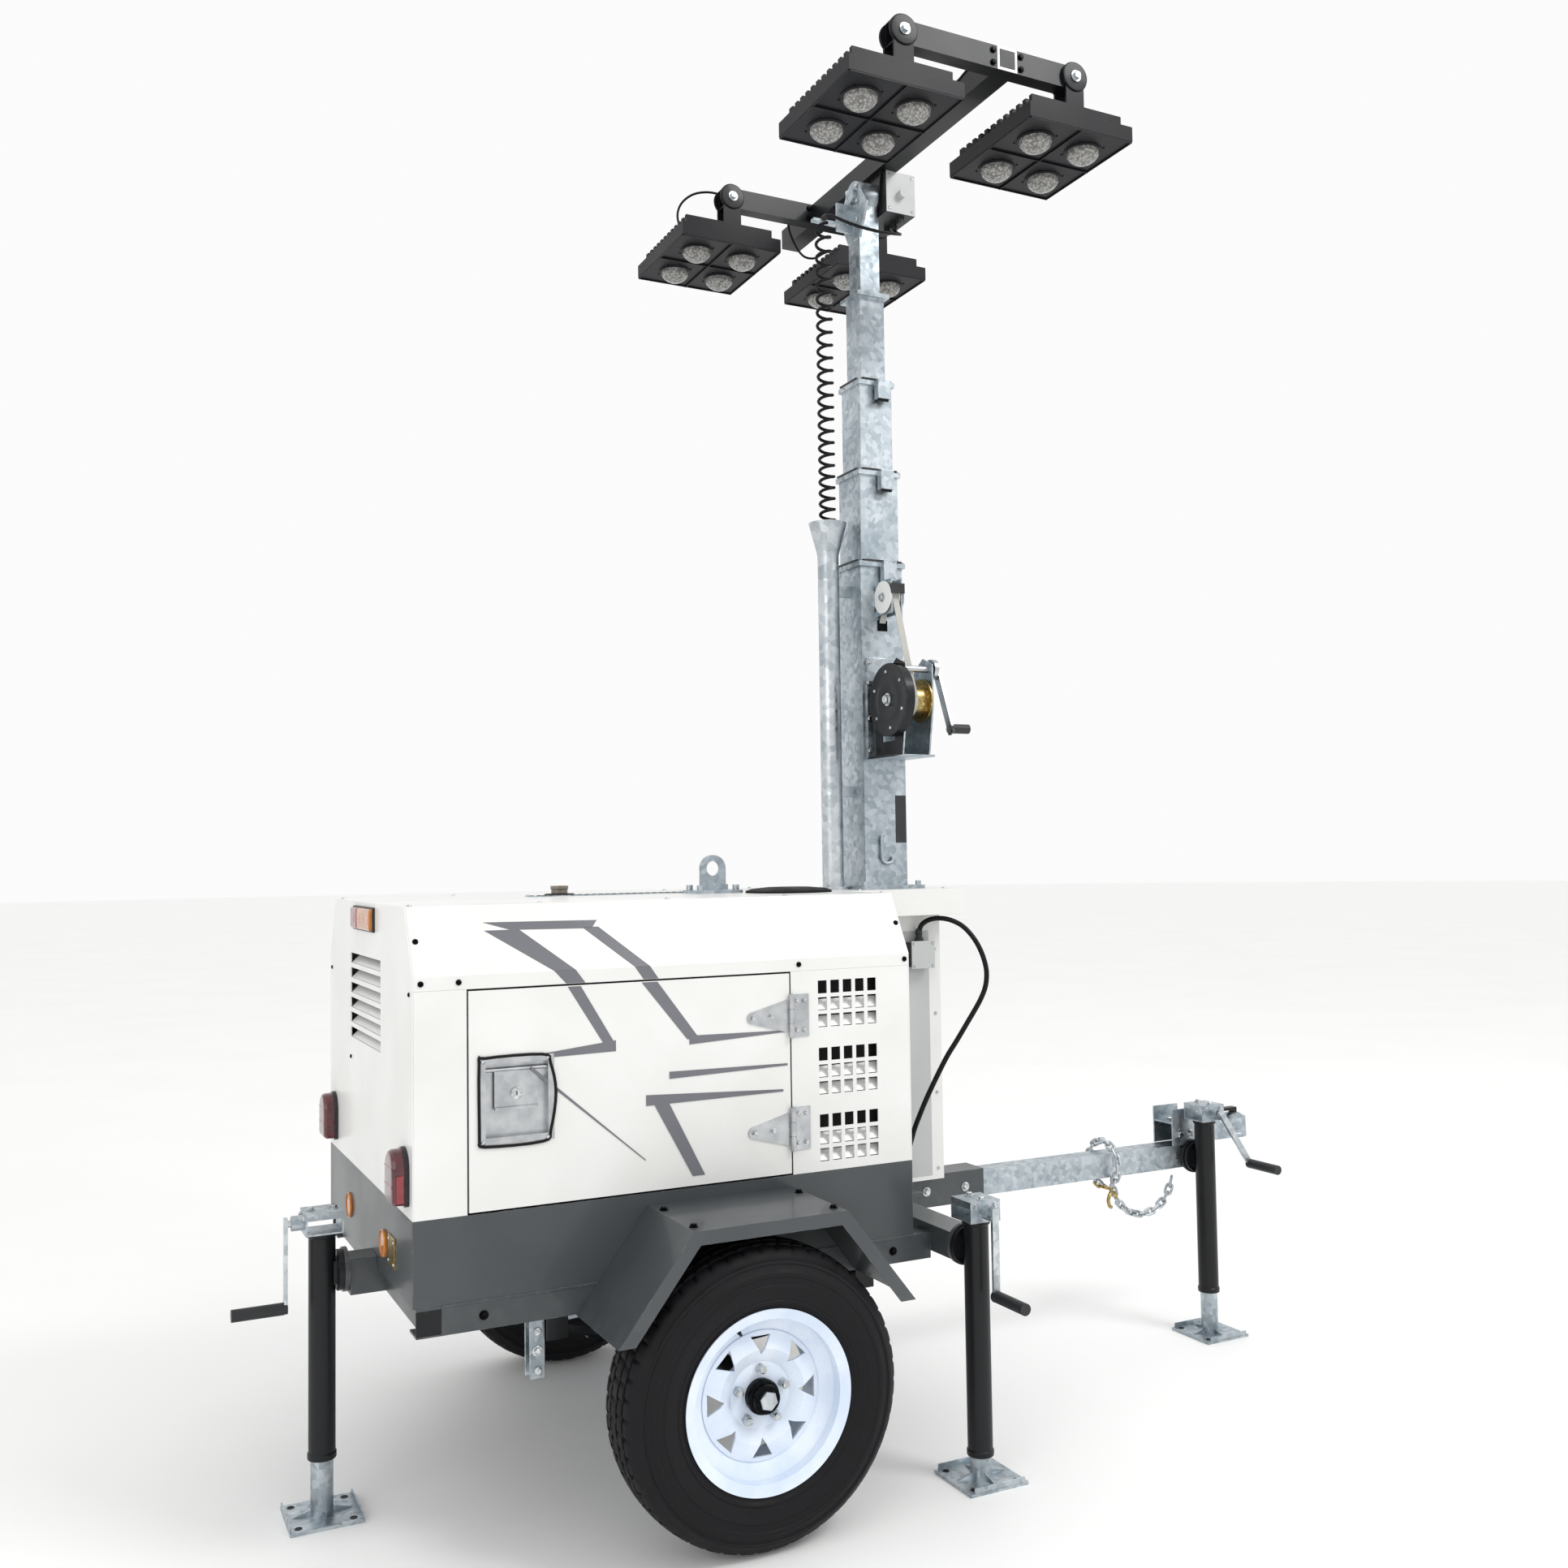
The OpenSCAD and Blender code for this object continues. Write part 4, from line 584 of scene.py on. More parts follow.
def smooth(points: Sequence[Point], steps: int = 5) -> list[Vector]:
    """Runs one smooth curve through all the points.

    Args:
        points: The points that the curve passes.
        steps: Number of steps between two of them.

    Returns:
        The curve's points.
    """
    p = [Vector(q) for q in points]
    p = [2 * p[0] - p[1], *p, 2 * p[-1] - p[-2]]
    run = []
    for i in range(1, len(p) - 2):
        for k in range(steps):
            t = k / steps
            run.append(0.5 * (2 * p[i] + (p[i + 1] - p[i - 1]) * t
                              + (2 * p[i - 1] - 5 * p[i] + 4 * p[i + 1] - p[i + 2]) * t * t
                              + (3 * p[i] - p[i - 1] - 3 * p[i + 1] + p[i + 2]) * t ** 3))
    return run + [p[-2]]


class Piece:
    """One Blender object made of several shaped parts, each with its own finish, in millimetres."""

    def __init__(self, name: str, body: str) -> None:
        """Starts an empty piece.

        Args:
            name: The piece's name.
            body: The moving body that it rides on.
        """
        self.name = name
        self.body = body
        self.shape = bmesh.new()
        self.finishes: list[Finish] = []

    def _faces(self, rings: list[list[bmesh.types.BMVert]], closed: bool, finish: Finish) -> None:
        """Skins a list of rings with quads and paints them."""
        last = len(rings) if closed else len(rings) - 1
        for i in range(last):
            a, b = rings[i], rings[(i + 1) % len(rings)]
            count = max(len(a), len(b))
            for k in range(count):
                corners = [a[k % len(a)], a[(k + 1) % len(a)], b[(k + 1) % len(b)], b[k % len(b)]]
                self.face(list(dict.fromkeys(corners)), finish)

    def face(self, corners: list[bmesh.types.BMVert], finish: Finish) -> None:
        """Adds one face with its finish, unless its corners don't make one.

        Args:
            corners: Its corners, in order.
            finish: What it is painted with.
        """
        if len(corners) < 3:
            return
        made = self.shape.faces.new(corners)
        if finish not in self.finishes:
            self.finishes.append(finish)
        made.material_index = self.finishes.index(finish)
        made.smooth = True

    def loft(self, rings: Sequence[Sequence[Point]], finish: Finish, closed: bool = False,
             capped: bool = True) -> None:
        """Skins rings of points, one after another.

        Args:
            rings: Lists of points, each a ring or a single point.
            finish: What it is made of.
            closed: Whether the last ring joins the first.
            capped: Whether the two ends are filled.
        """
        made = [[self.shape.verts.new(Vector(p) * MM) for p in ring] for ring in rings]
        self._faces(made, closed, finish)
        if capped and not closed:
            for ring, flip in ((made[0], True), (made[-1], False)):
                if len(ring) > 2:
                    self.face(list(reversed(ring)) if flip else ring, finish)

    def block(self, first: Point, last: Point, finish: Finish) -> None:
        """Adds a box given by any two opposite corners."""
        (x0, x1), (y0, y1), (z0, z1) = (sorted(pair) for pair in zip(first, last))
        self.loft([((x0, y0, z), (x1, y0, z), (x1, y1, z), (x0, y1, z)) for z in (z0, z1)], finish)

    def lathe(self, origin: Point, axis: Point, outline: Sequence[tuple[float, float]], finish: Finish,
              sides: int = 48, closed: bool = False,
              wave: Callable[[int, int], float] | None = None) -> None:
        """Turns an outline round an axis.

        Args:
            origin: Where the axis starts.
            axis: Its direction.
            outline: Pairs of radius and distance along the axis.
            finish: What it is made of.
            sides: Number of steps round.
            closed: Whether the outline closes on itself.
            wave: What to add to the radius, by outline point and step.
        """
        ahead = Vector(axis).normalized()
        first = ahead.orthogonal().normalized()
        second = ahead.cross(first)
        rings = []
        for i, (radius, along) in enumerate(outline):
            centre = Vector(origin) + ahead * along
            if radius < 1e-6:
                rings.append([centre])
                continue
            ring = []
            for k in range(sides):
                angle = math.tau * k / sides
                reach = radius + (wave(i, k) if wave else 0.0)
                ring.append(centre + (first * math.cos(angle) + second * math.sin(angle)) * reach)
            rings.append(ring)
        self.loft(rings, finish, closed=closed, capped=True)

    def rod(self, start: Point, end: Point, radius: float, finish: Finish, sides: int = 24,
            chamfer: float = 0.0) -> None:
        """Adds a round bar between two points.

        Args:
            start: Centre of one end.
            end: Centre of the other.
            radius: Outer radius.
            finish: What it is made of.
            sides: Number of sides.
            chamfer: Size of the chamfer at both ends.
        """
        span = (Vector(end) - Vector(start)).length
        outline = [(radius - chamfer, 0.0), (radius, chamfer), (radius, span - chamfer),
                   (radius - chamfer, span)] if chamfer else [(radius, 0.0), (radius, span)]
        self.lathe(start, Vector(end) - Vector(start), outline, finish, sides)

    def pipe(self, path: Sequence[Point], radius: float, finish: Finish, sides: int = 12) -> None:
        """Sweeps a round section along a path, without twist.

        Args:
            path: Points along its centre.
            radius: Radius of the round section.
            finish: What it is painted with.
            sides: Faces round the section.
        """
        points = [Vector(p) for p in path]
        ahead = [(points[min(i + 1, len(points) - 1)] - points[max(i - 1, 0)]).normalized()
                 for i in range(len(points))]
        side = ahead[0].orthogonal().normalized()
        rings = []
        for point, way in zip(points, ahead):
            side = (side - way * side.dot(way)).normalized()
            other = way.cross(side)
            rings.append([point + (side * math.cos(math.tau * k / sides)
                                   + other * math.sin(math.tau * k / sides)) * radius
                          for k in range(sides)])
        self.loft(rings, finish)

    def bolt(self, place: Point, axis: Point, size: float, finish: Finish) -> None:
        """Adds a chamfered hexagon head, size over its corners, on a washer at a point of a surface.

        Args:
            place: Point of the surface.
            axis: Direction out of the surface.
            size: Size over the corners.
            finish: What it is painted with.
        """
        half, thick = size / 2, size * 0.12
        top = thick + size * 0.38
        self.lathe(place, axis, [(size * 0.68, 0.0), (size * 0.68, thick), (size * 0.3, thick)], finish, 20)
        self.lathe(place, axis, [(half, thick), (half, thick + size * 0.3), (half * 0.84, top), (0.0, top)],
                   finish, 6)

    def screw(self, place: Point, axis: Point, size: float, finish: Finish) -> None:
        """Adds a low domed screw head with a recess in its middle.

        Args:
            place: Point of the surface.
            axis: Direction out of the surface.
            size: Diameter of the head.
            finish: What it is painted with.
        """
        half = size / 2
        self.lathe(place, axis, [(half, 0.0), (half * 0.98, size * 0.12), (half * 0.8, size * 0.26),
                                 (half * 0.4, size * 0.34), (half * 0.34, size * 0.2), (0.0, size * 0.18)],
                   finish, 18)

    def done(self, bevel: float = 0.0, sharp: float = 32.0, slot: str = "",
             replaces: Sequence[str] = (),
             blend: tuple[str, Point, Point] | None = None) -> bpy.types.Object:
        """Turns the shape into an object that rides on its body.

        Args:
            bevel: Width of the rounding on hard edges.
            sharp: Angle over which an edge stays sharp, in degrees.
            slot: The record's material slot; not used.
            replaces: CAD nodes that this piece stands for.
            blend: A second body and two points, which are not used; when it is given, the piece stays fixed in
                world space instead of riding on its body.

        Returns:
            The object.
        """
        bmesh.ops.recalc_face_normals(self.shape, faces=self.shape.faces)
        data = bpy.data.meshes.new(self.name)
        self.shape.to_mesh(data)
        self.shape.free()
        for finish in self.finishes:
            data.materials.append(finish.material())
        data.set_sharp_from_angle(angle=math.radians(sharp))
        made = bpy.data.objects.new(self.name, data)
        bpy.context.scene.collection.objects.link(made)
        if bevel:
            soften(made, bevel)
        if blend:
            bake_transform(made)
        else:
            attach(made, self.body)
        if replaces:
            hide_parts(*replaces)
        log.info("piece %s on %s, %d faces", self.name, self.body, len(data.polygons))
        return made


def soften(made: bpy.types.Object, width: float, weld: bool = False) -> None:
    """Rounds an object's hard edges by modifiers.

    Args:
        made: The object.
        width: Width of the rounding.
        weld: Whether split corners are joined first.
    """
    if weld:
        made.modifiers.new("join_corners", "WELD").merge_threshold = 0.00002
    rounding = made.modifiers.new("rounded_edges", "BEVEL")
    rounding.width = width * MM
    rounding.segments = 2
    rounding.limit_method = "ANGLE"
    rounding.angle_limit = math.radians(40)
    rounding.use_clamp_overlap = True
    shading = made.modifiers.new("even_shading", "WEIGHTED_NORMAL")
    shading.keep_sharp = True


def dress(node: str, finish: Finish, bevel: float = 0.0,
          also: Sequence[tuple[Finish, Callable[[Vector], bool]]] = ()) -> None:
    """Gives a CAD node its finish, rounds its edges and gives parts of it other finishes.

    Args:
        node: The CAD node.
        finish: What most of it is made of.
        bevel: Width of the rounding, or 0 for none.
        also: Other finishes, each with a test of a face's middle.
    """
    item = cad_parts[node]
    item.data.materials.clear()
    item.data.materials.append(finish.material())
    for index, (other, test) in enumerate(also, 1):
        item.data.materials.append(other.material())
        for face in item.data.polygons:
            if test(face.center / MM):
                face.material_index = index
    if bevel:
        soften(item, bevel, weld=True)
    log.info("dressed %s in %s", node, finish.name)


class Side(Enum):
    """The two sides of the trailer, by the sign of Y."""

    RIGHT = -1
    LEFT = 1


class Corner(Enum):
    """The four lamps: their CAD node, side and end."""

    REAR_RIGHT = ("lamp_rear_right", -1, -1)
    FRONT_RIGHT = ("lamp_front_right", -1, 1)
    REAR_LEFT = ("lamp_rear_left", 1, -1)
    FRONT_LEFT = ("lamp_front_left", 1, 1)


# ---------------------------------------------------------------- studio

@dataclass
class Studio:
    """Camera, floor and lights."""

    eye: tuple[float, float, float] = (-1.9114, -3.6205, 1.4919)
    yaw: float = 26.624
    pitch: float = 2.689
    roll: float = -0.831
    lens: float = 33.67
    floor_half: float = 60.0

    def camera(self) -> None:
        """Puts the camera at standing height behind the trailer's right-hand corner."""
        yaw, pitch, roll = (math.radians(a) for a in (self.yaw, self.pitch, self.roll))
        ahead = Vector((math.sin(yaw) * math.cos(pitch), math.cos(yaw) * math.cos(pitch), math.sin(pitch)))
        level = Vector((math.cos(yaw), -math.sin(yaw), 0.0))
        raised = level.cross(ahead)
        across = level * math.cos(roll) + raised * math.sin(roll)
        up = raised * math.cos(roll) - level * math.sin(roll)
        data = bpy.data.cameras.new("camera")
        data.lens = self.lens
        data.sensor_width = 36.0
        data.clip_start = 0.05
        data.clip_end = 300.0
        data.dof.use_dof = False
        made = bpy.data.objects.new("camera", data)
        bpy.context.scene.collection.objects.link(made)
        turn = Matrix((across, up, -ahead)).transposed().to_4x4()
        made.matrix_world = Matrix.Translation(self.eye) @ turn
        bpy.context.scene.camera = made

    def floor(self) -> None:
        """Lays the pale floor, wide enough for its edge to sink into the sky."""
        data = bpy.data.meshes.new("floor")
        shape = bmesh.new()
        rings = [(0.0, 0.0), (8.0, 0.0), (20.0, 0.0), (self.floor_half, 0.0)]
        sides = 96
        made = []
        for radius, height in rings:
            if radius == 0.0:
                made.append([shape.verts.new((0, 0, 0))])
                continue
            made.append([shape.verts.new((radius * math.cos(math.tau * k / sides),
                                          radius * math.sin(math.tau * k / sides), height))
                         for k in range(sides)])
        for inner, outer in zip(made, made[1:]):
            for k in range(sides):
                after = (k + 1) % sides
                ring = [inner[k % len(inner)], outer[k], outer[after], inner[after % len(inner)]]
                shape.faces.new(list(dict.fromkeys(ring))).smooth = True
        bmesh.ops.recalc_face_normals(shape, faces=shape.faces)
        bmesh.ops.reverse_faces(shape, faces=shape.faces)
        shape.to_mesh(data)
        shape.free()
        data.materials.append(FLOOR.material())
        floor = bpy.data.objects.new("floor", data)
        bpy.context.scene.collection.objects.link(floor)

    def softbox(self, name: str, place: Point, aim: Point, size: float, power: float) -> None:
        """Hangs a square softbox.

        Args:
            name: Its name.
            place: Where it hangs, in metres.
            aim: What it points at, in metres.
            size: Its side, in metres.
            power: Its power in watts.
        """
        data = bpy.data.lights.new(name, "AREA")
        data.shape = "SQUARE"
        data.size = size
        data.energy = power
        made = bpy.data.objects.new(name, data)
        bpy.context.scene.collection.objects.link(made)
        made.location = place
        made.rotation_euler = (Vector(aim) - Vector(place)).to_track_quat("-Z", "Y").to_euler()

    def lights(self) -> None:
        """A pale sky all round, one key from the right-hand front and a weak fill from behind."""
        world = bpy.data.worlds.new("pale_studio")
        bpy.context.scene.world = world
        world.use_nodes = True
        sky = world.node_tree.nodes["Background"]
        sky.inputs["Color"].default_value = (1.0, 1.0, 1.0, 1.0)
        sky.inputs["Strength"].default_value = 0.97
        self.softbox("key", (3.6, -5.2, 7.6), (-0.2, 0.0, 1.0), 2.6, 260.0)
        self.softbox("fill", (-6.5, -4.0, 3.4), (-0.2, 0.0, 1.3), 4.0, 60.0)
        bpy.context.scene.view_settings.view_transform = "Standard"

    def build(self) -> None:
        """Camera, floor and lights, in that order."""
        self.camera()
        self.floor()
        self.lights()


# ---------------------------------------------------------------- cords

@dataclass
class CurlyCord:
    """Coiled supply cord from the canopy up to the lamp head; its turns open towards the top."""

    cable: float = 9.0
    turn_radius: float = 20.3
    low_pitch: float = 16.0
    high_pitch: float = 42.0
    steps: int = 14

    def route(self) -> list[Vector]:
        """The helix inside the CAD cord's cylinder.

        Returns:
            The points along the cord's centre.
        """
        low, high = corners("coil_cord")
        middle = (low + high) / 2
        run = []
        z, angle = low.z + self.cable / 2, 0.0
        while z < high.z - self.cable / 2:
            share = (z - low.z) / (high.z - low.z)
            run.append(Vector((middle.x + self.turn_radius * math.cos(angle),
                               middle.y + self.turn_radius * math.sin(angle), z)))
            angle += math.tau / self.steps
            z += (self.low_pitch + (self.high_pitch - self.low_pitch) * share) / self.steps
        return run

    def build(self) -> None:
        low, high = corners("coil_cord")
        run = self.route()
        piece = Piece("curly_cord", "trailer")
        piece.pipe(run, self.cable / 2, HOSE, 10)
        middle = (low + high) / 2
        made = piece.done(sharp=60, slot="cord_rubber", replaces=["coil_cord"],
                          blend=("mast_top", (middle.x, middle.y, low.z), (middle.x, middle.y, high.z)))


@dataclass
class Lead:
    """A cable between two glands, hanging in one smooth curve."""

    name: str
    body: str
    points: list[Point]
    cable: float
    far_body: str = ""
    replaces: list[str] = field(default_factory=list)
    gland: float = 1.9

    def build(self) -> None:
        run = smooth(self.points)
        piece = Piece(self.name, self.body)
        piece.pipe(run, self.cable / 2, HOSE, 14)
        blend = (self.far_body, run[0], run[-1]) if self.far_body else None
        made = piece.done(sharp=60, slot="cord_rubber", replaces=self.replaces, blend=blend)
        ends = ((run[0], run[1] - run[0], self.body),
                (run[-1], run[-2] - run[-1], self.far_body or self.body))
        for number, (place, away, body) in enumerate(ends, 1):
            gland = Piece(f"{self.name}_gland_{number}", body)
            r = self.cable / 2
            gland.lathe(place, away, [(r * self.gland, 0.0), (r * self.gland, r * 1.2),
                                      (r * self.gland * 0.86, r * 1.4), (r * 1.55, r * 1.5),
                                      (r * 1.45, r * 2.4), (r * 1.12, r * 3.6), (r * 1.02, r * 3.7)],
                        NYLON_BLACK, 24)
            gland.done(slot="cord_rubber")


@dataclass
class Cords:
    """Every free cord: the supply cable beside the column, the curly cord and the lamp leads."""

    supply_cable: float = 14.0
    lamp_cable: float = 7.0
    head_cable: float = 9.0

    def supply(self) -> Lead:
        """The supply cable, from the connector on the column round and down to the deck.

        Returns:
            The cable with its run.
        """
        return Lead("supply_cable", "trailer", [
            (261.5, -113, 1250), (261.5, -113, 1264), (266.5, -120, 1286), (283.5, -134, 1300),
            (307.5, -150, 1304), (333.5, -168, 1298), (357.5, -187, 1282), (375.5, -205, 1256),
            (388.5, -220, 1225), (396.5, -232, 1190), (398.5, -240, 1155), (392.5, -242, 1118),
            (377.5, -240, 1084), (356.5, -236, 1050), (333.5, -231, 1015), (307.5, -225, 975),
            (281.5, -217, 935), (259.5, -208, 892), (239.5, -198, 848), (223.5, -188, 808),
            (210.5, -177, 768), (202.5, -166, 735), (196.5, -156, 700), (189.5, -147, 665),
            (183.5, -140, 635), (181.5, -138, 614), (181.5, -138, 600)],
            self.supply_cable, replaces=["power_cable"], gland=1.3)

    def lamp_leads(self) -> list[Lead]:
        """One lead for each lamp: high arcs at two corners, hanging loops at the other two.

        Returns:
            The four leads.
        """
        beam_high = corners("head_beam")[1]
        fins = beam_high.z - 135
        under = beam_high.z - 60
        arm = 20
        leads = []
        for side, node in ((-1, "right"), (1, "left")):
            rear, front = (sum(corners(f"lamp_{end}_{node}"), Vector()) / 2 for end in ("rear", "front"))
            arm_y = rear.y - 88 + arm
            hung = [(x, y, z) for x, y, z in (
                (150, arm_y + 3, under + 16), (150, arm_y + 17, under + 14), (138, arm_y + 34, under - 4),
                (112, arm_y + 44, under - 42), (78, arm_y + 54, under - 66), (36, arm_y + 62, under - 62),
                (-4, arm_y + 68, under - 36), (-42, arm_y + 70, under - 22), (-72, arm_y + 70, under - 34),
                (-86, arm_y + 69, under - 52), (-88, arm_y + 68, fins + 8), (-88, arm_y + 68, fins - 2))]
            arched = [(x, y, z) for x, y, z in (
                (300, arm_y + 3, under + 34), (302, arm_y + 16, under + 38), (318, arm_y + 34, under + 54),
                (352, arm_y + 50, under + 74), (398, arm_y + 64, under + 84), (446, arm_y + 76, under + 74),
                (482, arm_y + 84, under + 44), (496, arm_y + 88, under + 6), (488, arm_y + 88, under - 34),
                (470, arm_y + 88, under - 58), (462, arm_y + 88, fins + 8), (462, arm_y + 88, fins - 2))]
            ends = [("rear", hung), ("front", arched)]
            if side > 0:
                middle = (rear.x + front.x) / 2
                ends = [(end, [(2 * middle - x, y, z) for x, y, z in run])
                        for end, run in (("front", hung), ("rear", arched))]
            leads += [Lead(f"lead_{end}_{node}", "head", run, self.lamp_cable, f"lamp_{end}_{node}")
                      for end, run in ends]
        return leads

    def head_leads(self) -> list[Lead]:
        """The lead from the curly cord's bracket round the mast to the junction box.

        Returns:
            The mast head's leads.
        """
        low = corners("junction_box")[0]
        top = corners("coil_cord")[1].z
        x, z = low.x + 60, low.z
        return [Lead("lead_head", "mast_top", [
            (53.5, -10, top + 12), (53.5, -24, top + 12), (60, -46, top + 4), (80, -72, top - 16),
            (112, -94, top - 34), (150, -108, top - 44), (190, -112, top - 46), (228, -104, top - 40),
            (258, -84, top - 28), (277, -56, top - 14), (x, -30, top), (x, -14, z - 6), (x, -10, z + 4)],
            self.head_cable, "head")]

    def build(self) -> None:
        """Builds them all."""
        self.supply().build()
        CurlyCord().build()
        for lead in [*self.lamp_leads(), *self.head_leads()]:
            lead.build()


# ---------------------------------------------------------------- canopy

@dataclass
class Canopy:
    """Sheet-steel canopy with its doors, vents, lamps and roof fittings."""

    screw: float = 13.0
    stripe: float = 0.7
    slat: float = 1.2

    def __post_init__(self) -> None:
        """Takes the canopy's planes from the frame."""
        low, high = corners("roof_panel")
        self.side, self.lip, self.roof = high.y, low.z, high.z
        self.shoulder = self.lip + 30
        self.inset = 80.0
        self.rear = corners("rear_panel")[0].x
        self.front = corners("front_panel")[1].x
        self.sill = corners("lower_tub")[1].z
        self.door_low, self.door_high = corners("door_right")
        self.hinge = self.door_high.x - 7

    def dress_panels(self) -> None:
        """Finishes for the folded sheets."""
        for node in ("roof_panel", "front_panel", "rear_panel", "side_panels", "mast_cap"):
            dress(node, WHITE_COAT, 1.6 if node in ("roof_panel", "mast_cap") else 0.8)
        for side in Side:
            name = side.name.lower()
            dress(f"door_{name}", WHITE_COAT, 0.9,
                  [(STAINLESS, lambda p: abs(p.y) > self.side + 0.4 or self.in_pan(p))])
            dress(f"latch_{name}", STAINLESS, 0.6)
        dress("door_hinges", STAINLESS, 0.6)
        dress("lower_tub", DARK_COAT, 1.6)
        column = corners("mast_column")
        dress("mast_column", WHITE_COAT, 1.4, [(NYLON_BLACK, lambda p: p.y < column[0].y + 35.5)])

    def in_pan(self, p: Vector) -> bool:
        """Whether a point lies in the door's latch pan."""
        low, high = corners("latch_right")
        return low.x - 6 < p.x < high.x + 6 and low.z - 66 < p.z < high.z + 20 and abs(p.y) > self.side - 19

    def on_shoulder(self, x: float, share: float, side: int, proud: float = 0.0) -> Vector:
        """A point on the sloping shoulder, share of the way up."""
        slope = Vector((0.0, self.roof - self.shoulder, self.inset)).normalized()
        return Vector((x, side * (self.side - self.inset * share + slope.y * proud),
                       self.shoulder + (self.roof - self.shoulder) * share + slope.z * proud))

    def screws(self) -> None:
        """Domed screws along the crease, the shoulder's ends and the roof's edges."""
        piece = Piece("canopy_screws", "trailer")
        for side in (-1, 1):
            for x in (self.rear + 18, self.rear + 99, self.hinge + 24, self.front - 13):
                piece.screw((x, side * self.side, self.lip + 16), (0, side, 0), self.screw, BLACK_OXIDE)
            for x in (self.rear + 16, self.front - 12):
                slope = (0, side * (self.roof - self.shoulder), self.inset)
                piece.screw(self.on_shoulder(x, 0.5, side), slope, self.screw, BLACK_OXIDE)
            for x in (self.rear + 16, self.rear + 310, self.rear + 620, self.rear + 930, self.front - 14):
                piece.screw((x, side * (self.side - self.inset - 22), self.roof), (0, 0, 1),
                            self.screw * 0.9, BRIGHT_ZINC)
        for y, height in ((195, 264), (-470, 470), (470, 470)):
            piece.screw((self.rear, y, self.sill + height), (-1, 0, 0), self.screw * 0.8, BLACK_OXIDE)
        for x in (self.front + 60, self.front + 330):
            for y in (-150, 150):
                piece.screw((x, y, self.roof), (0, 0, 1), self.screw * 0.9, BRIGHT_ZINC)
        piece.done()

    def band(self, piece: Piece, side: int, start: tuple[float, float, float],
             end: tuple[float, float, float], proud: float) -> None:
        """Cuts one tapering strip of vinyl on the flat side.

        Args:
            piece: The piece it joins.
            side: 1 for the left side, -1 for the right.
            start: Distance from the rear, height over the sill, and width there.
            end: The same at the far end.
            proud: How far it stands off the sheet; strips that cross lie one on another.
        """
        corners_of = []
        for (x, z, width), turn in ((start, 1), (end, -1)):
            steep = abs(end[1] - start[1]) > abs(end[0] - start[0])
            dx, dz = (width / 2, 0) if steep else (0, width / 2)
            corners_of += [(x - turn * dx, z - turn * dz), (x + turn * dx, z + turn * dz)]
        piece.loft([[(self.rear + x, side * (self.side + out), self.sill + z) for x, z in corners_of]
                    for out in (-0.2, proud)], GRAPHITE_INK)

    def stripes(self) -> None:
        """Angular grey stripes over the shoulder and the door: a plain, generic pattern."""
        crease = self.lip - self.sill
        bands = (((356, crease - 6, 30), (439, 336, 26)), ((534, crease - 6, 38), (640, 336, 30)),
                 ((249, 322, 7), (452, 334, 24)), ((256, 300, 9), (520, 74, 3)),
                 ((630, 334, 20), (876, 338, 4)), ((580, 258, 16), (880, 260, 5)),
                 ((523, 206, 24), (868, 200, 5)), ((560, 196, 36), (650, 26, 30)))
        for side in Side:
            s, name = side.value, side.name.lower()
            door = Piece(f"stripes_door_{name}", f"door_{name}")
            for layer, (start, end) in enumerate(bands):
                self.band(door, s, start, end, self.stripe + 0.12 * layer)
            door.done()
            piece = Piece(f"stripes_shoulder_{name}", "trailer")
            self.shoulder_band(piece, s, (338, 382), (168, 246))
            self.shoulder_band(piece, s, (520, 556), (392, 430))
            cross = [(168, 0.74), (430, 0.72), (414, 0.60), (226, 0.62)]
            piece.loft([[self.on_shoulder(self.rear + x, share, s, proud) for x, share in cross]
                        for proud in (-0.2, self.stripe)], GRAPHITE_INK)
            piece.done()

    def shoulder_band(self, piece: Piece, side: int, low: Pair, high: Pair) -> None:
        """One slanting stripe from the canopy's lip up over the crease onto the shoulder.

        Args:
            piece: The piece it joins.
            side: 1 for the left side, -1 for the right.
            low: The stripe's two edges at the lip, as distances from the rear.
            high: The same at its top end.
        """
        share = 0.62  # how far up the shoulder it reaches
        low, high = [self.rear + x for x in low], [self.rear + x for x in high]
        bend = [a + (b - a) * 0.16 for a, b in zip(low, high)]
        foot = self.lip + 1
        lip = [(low[0], foot), (low[1], foot), (bend[1], self.shoulder), (bend[0], self.shoulder)]
        slope = [(bend[0], 0.0), (bend[1], 0.0), (high[1], share), (high[0], share)]
        layers = (0.0, self.stripe)
        piece.loft([[(x, side * (self.side + out), z) for x, z in lip] for out in layers], GRAPHITE_INK)
        piece.loft([[self.on_shoulder(x, up, side, out) for x, up in slope] for out in layers], GRAPHITE_INK)

